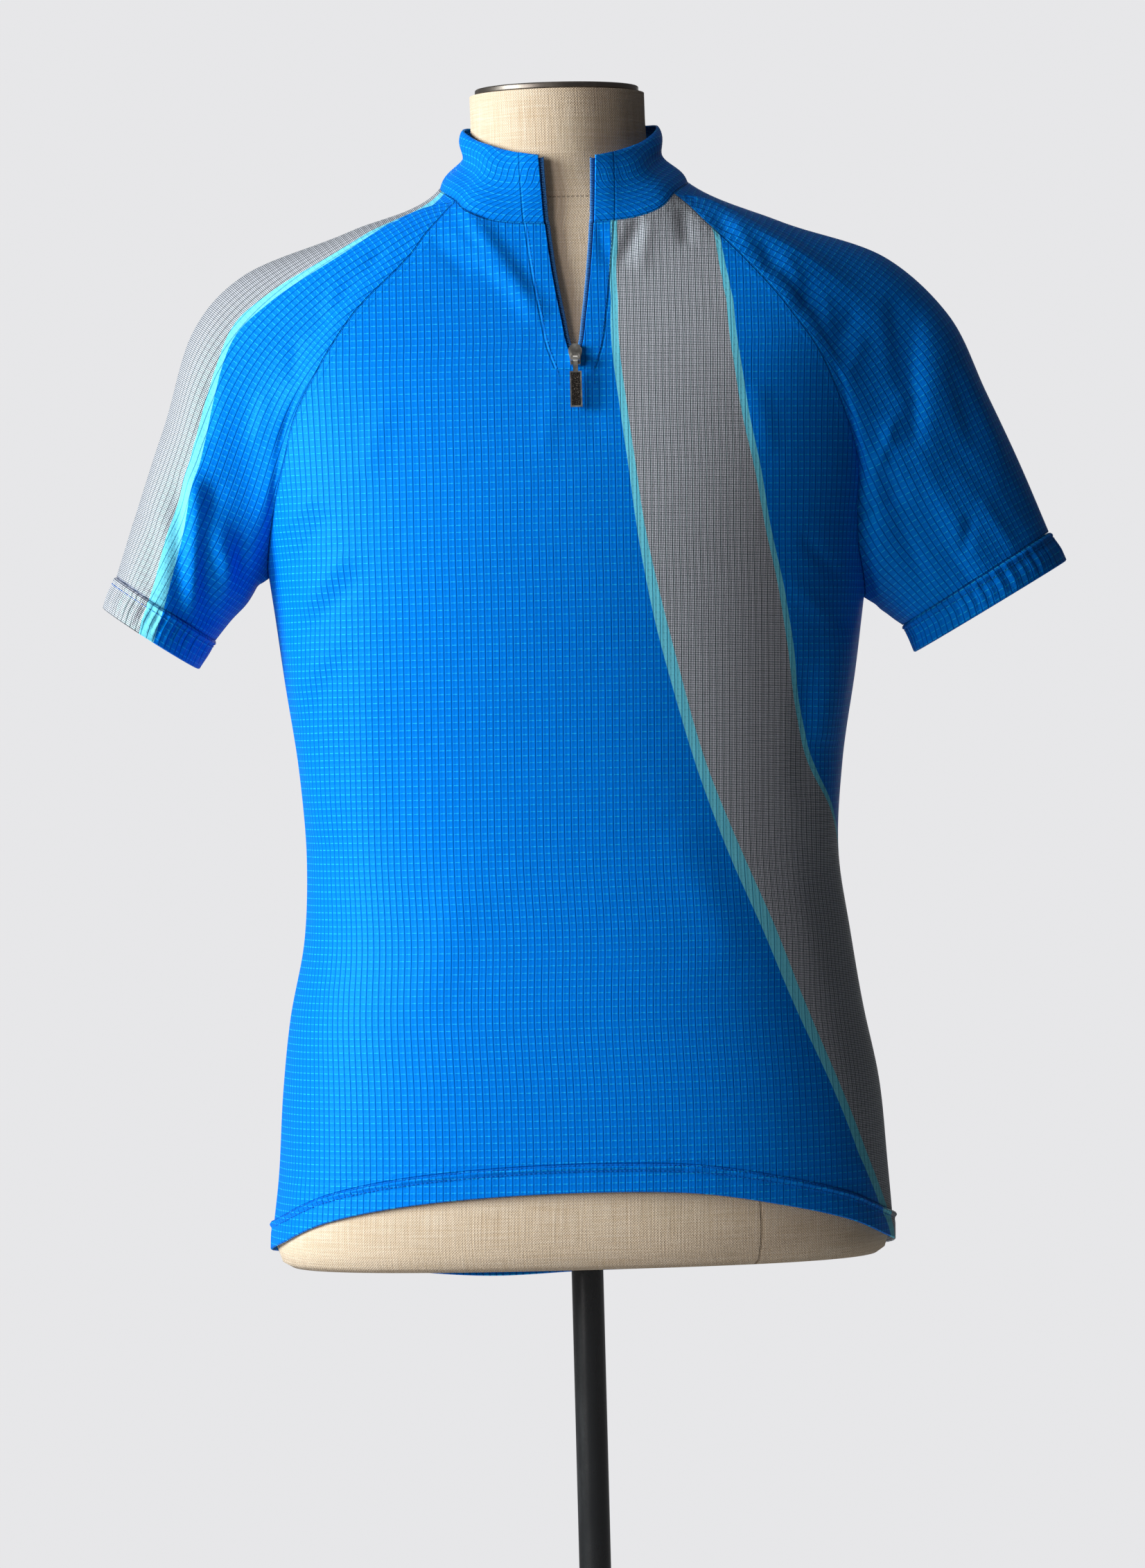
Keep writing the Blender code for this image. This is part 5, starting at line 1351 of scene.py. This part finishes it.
def studio():
    """Pale floor, pale surround, and soft lamps from the photograph's side."""
    points, faces, _ = turned_mesh([(radius, 0.0) for radius in FLOOR_RINGS], 96)
    floor = place_mesh("floor", points - np.array([0, 0, FLOOR_DROP]), faces, floor_coat())
    surround = Paint("studio", "worlds", "Background")
    glossy, seen = (surround.node("ShaderNodeLightPath", {}, {}, f"Is {kind} Ray")
                    for kind in ("Glossy", "Camera"))
    level = surround.node("ShaderNodeMix", {}, {0: glossy, 2: FILL_LEVEL, 3: GLOSS_LEVEL})
    level = surround.node("ShaderNodeMix", {}, {0: seen, 2: level, 3: SEEN_LEVEL})
    bpy.context.scene.world = surround.done(Strength=level, Color=tone(250, 250, 252))
    bpy.context.scene.view_settings.view_transform = "Standard"
    for name, place, aim, wide, high, power, colour in LAMPS:
        lamp = bpy.data.lights.new(name, "AREA")
        lamp.shape, lamp.size, lamp.size_y = "RECTANGLE", wide, high
        lamp.energy, lamp.color = power, colour
        thing = put(name, lamp)
        thing.location = place
        thing.rotation_euler = (Vector(aim) - Vector(place)).to_track_quat("-Z", "Y").to_euler()


def jersey_cloth(knit):
    """The nine sewn pieces, by name."""
    seams = {side: (raglan(RAGLAN_FRONT[side]), raglan(RAGLAN_BACK[side])) for side, _ in SIDES}
    made = [front_panel(seams, knit), back_panel(seams, knit),
            hem_band("hem_front", -np.pi / 2, knit), hem_band("hem_back", np.pi / 2, knit)]
    made += [sleeve(side, word, seams[side], knit) for side, word in SIDES]
    made += [cuff(side, word, seams[side], knit) for side, word in SIDES]
    made.append(collar(knit))
    return {thing.name: thing for thing in made}


def stand(cap, lacquer):
    """Neck cap, base plate, pole and socket."""
    top = LEVEL + FORM_RINGS[-1][0] + JOINT
    disc = rounded(top, top + CAP_THICK, CAP_RADIUS, CAP_EDGE)
    turned("brushed_disc", disc, cap, "cap", "neck_cap")
    plate = rounded(0, PLATE_HEIGHT, PLATE_RADIUS, PLATE_EDGE)
    turned("lacquered_plate", plate, lacquer, "black", "base_plate", 192)
    pole = [(POLE_RADIUS, PLATE_HEIGHT + JOINT), (POLE_RADIUS, LEVEL + FORM_FOOT - JOINT)]
    turned("lacquered_pole", pole, lacquer, "black", "pole")
    turned("lacquered_socket", SOCKET_PROFILE, lacquer, "black", "pole_socket", closed=True)


def main():
    camera()
    studio()
    thread = grained_coat("sewing_thread", 2600.0, 1.0, 0.1, (0, 84, 176), (0, 104, 200), 0.7, 0.2)
    coil = grained_coat("zip_coil", 900.0, 2.0, 0.04, (12, 96, 186), (70, 160, 228), 0.34, 0.5)
    tape = tape_coat()
    tab_inlay(inlay_coat())
    pieces = jersey_cloth(knit_coat())
    hem_stitches(thread)
    for stitched in (placket_stitches, cuff_stitches):
        for side, word in SIDES:
            stitched(side, word, thread)
    for side, word in SIDES:
        zip_tape(side, word, tape, coil)
    form_body(linen_coat())
    stand(cap_coat(), lacquer_coat())
    metal = metal_coat()
    for node in ("zip_slider", "pull_tab"):
        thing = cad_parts[node]
        thing.data.materials.clear()
        thing.data.materials.append(metal)
        soft = thing.modifiers.new("soft_edges", "BEVEL")
        soft.width, soft.segments, soft.limit_method = 0.00022, 2, "ANGLE"
    for name, flat, area, rests_on in SHEETS:
        thing = pieces[name]


main()
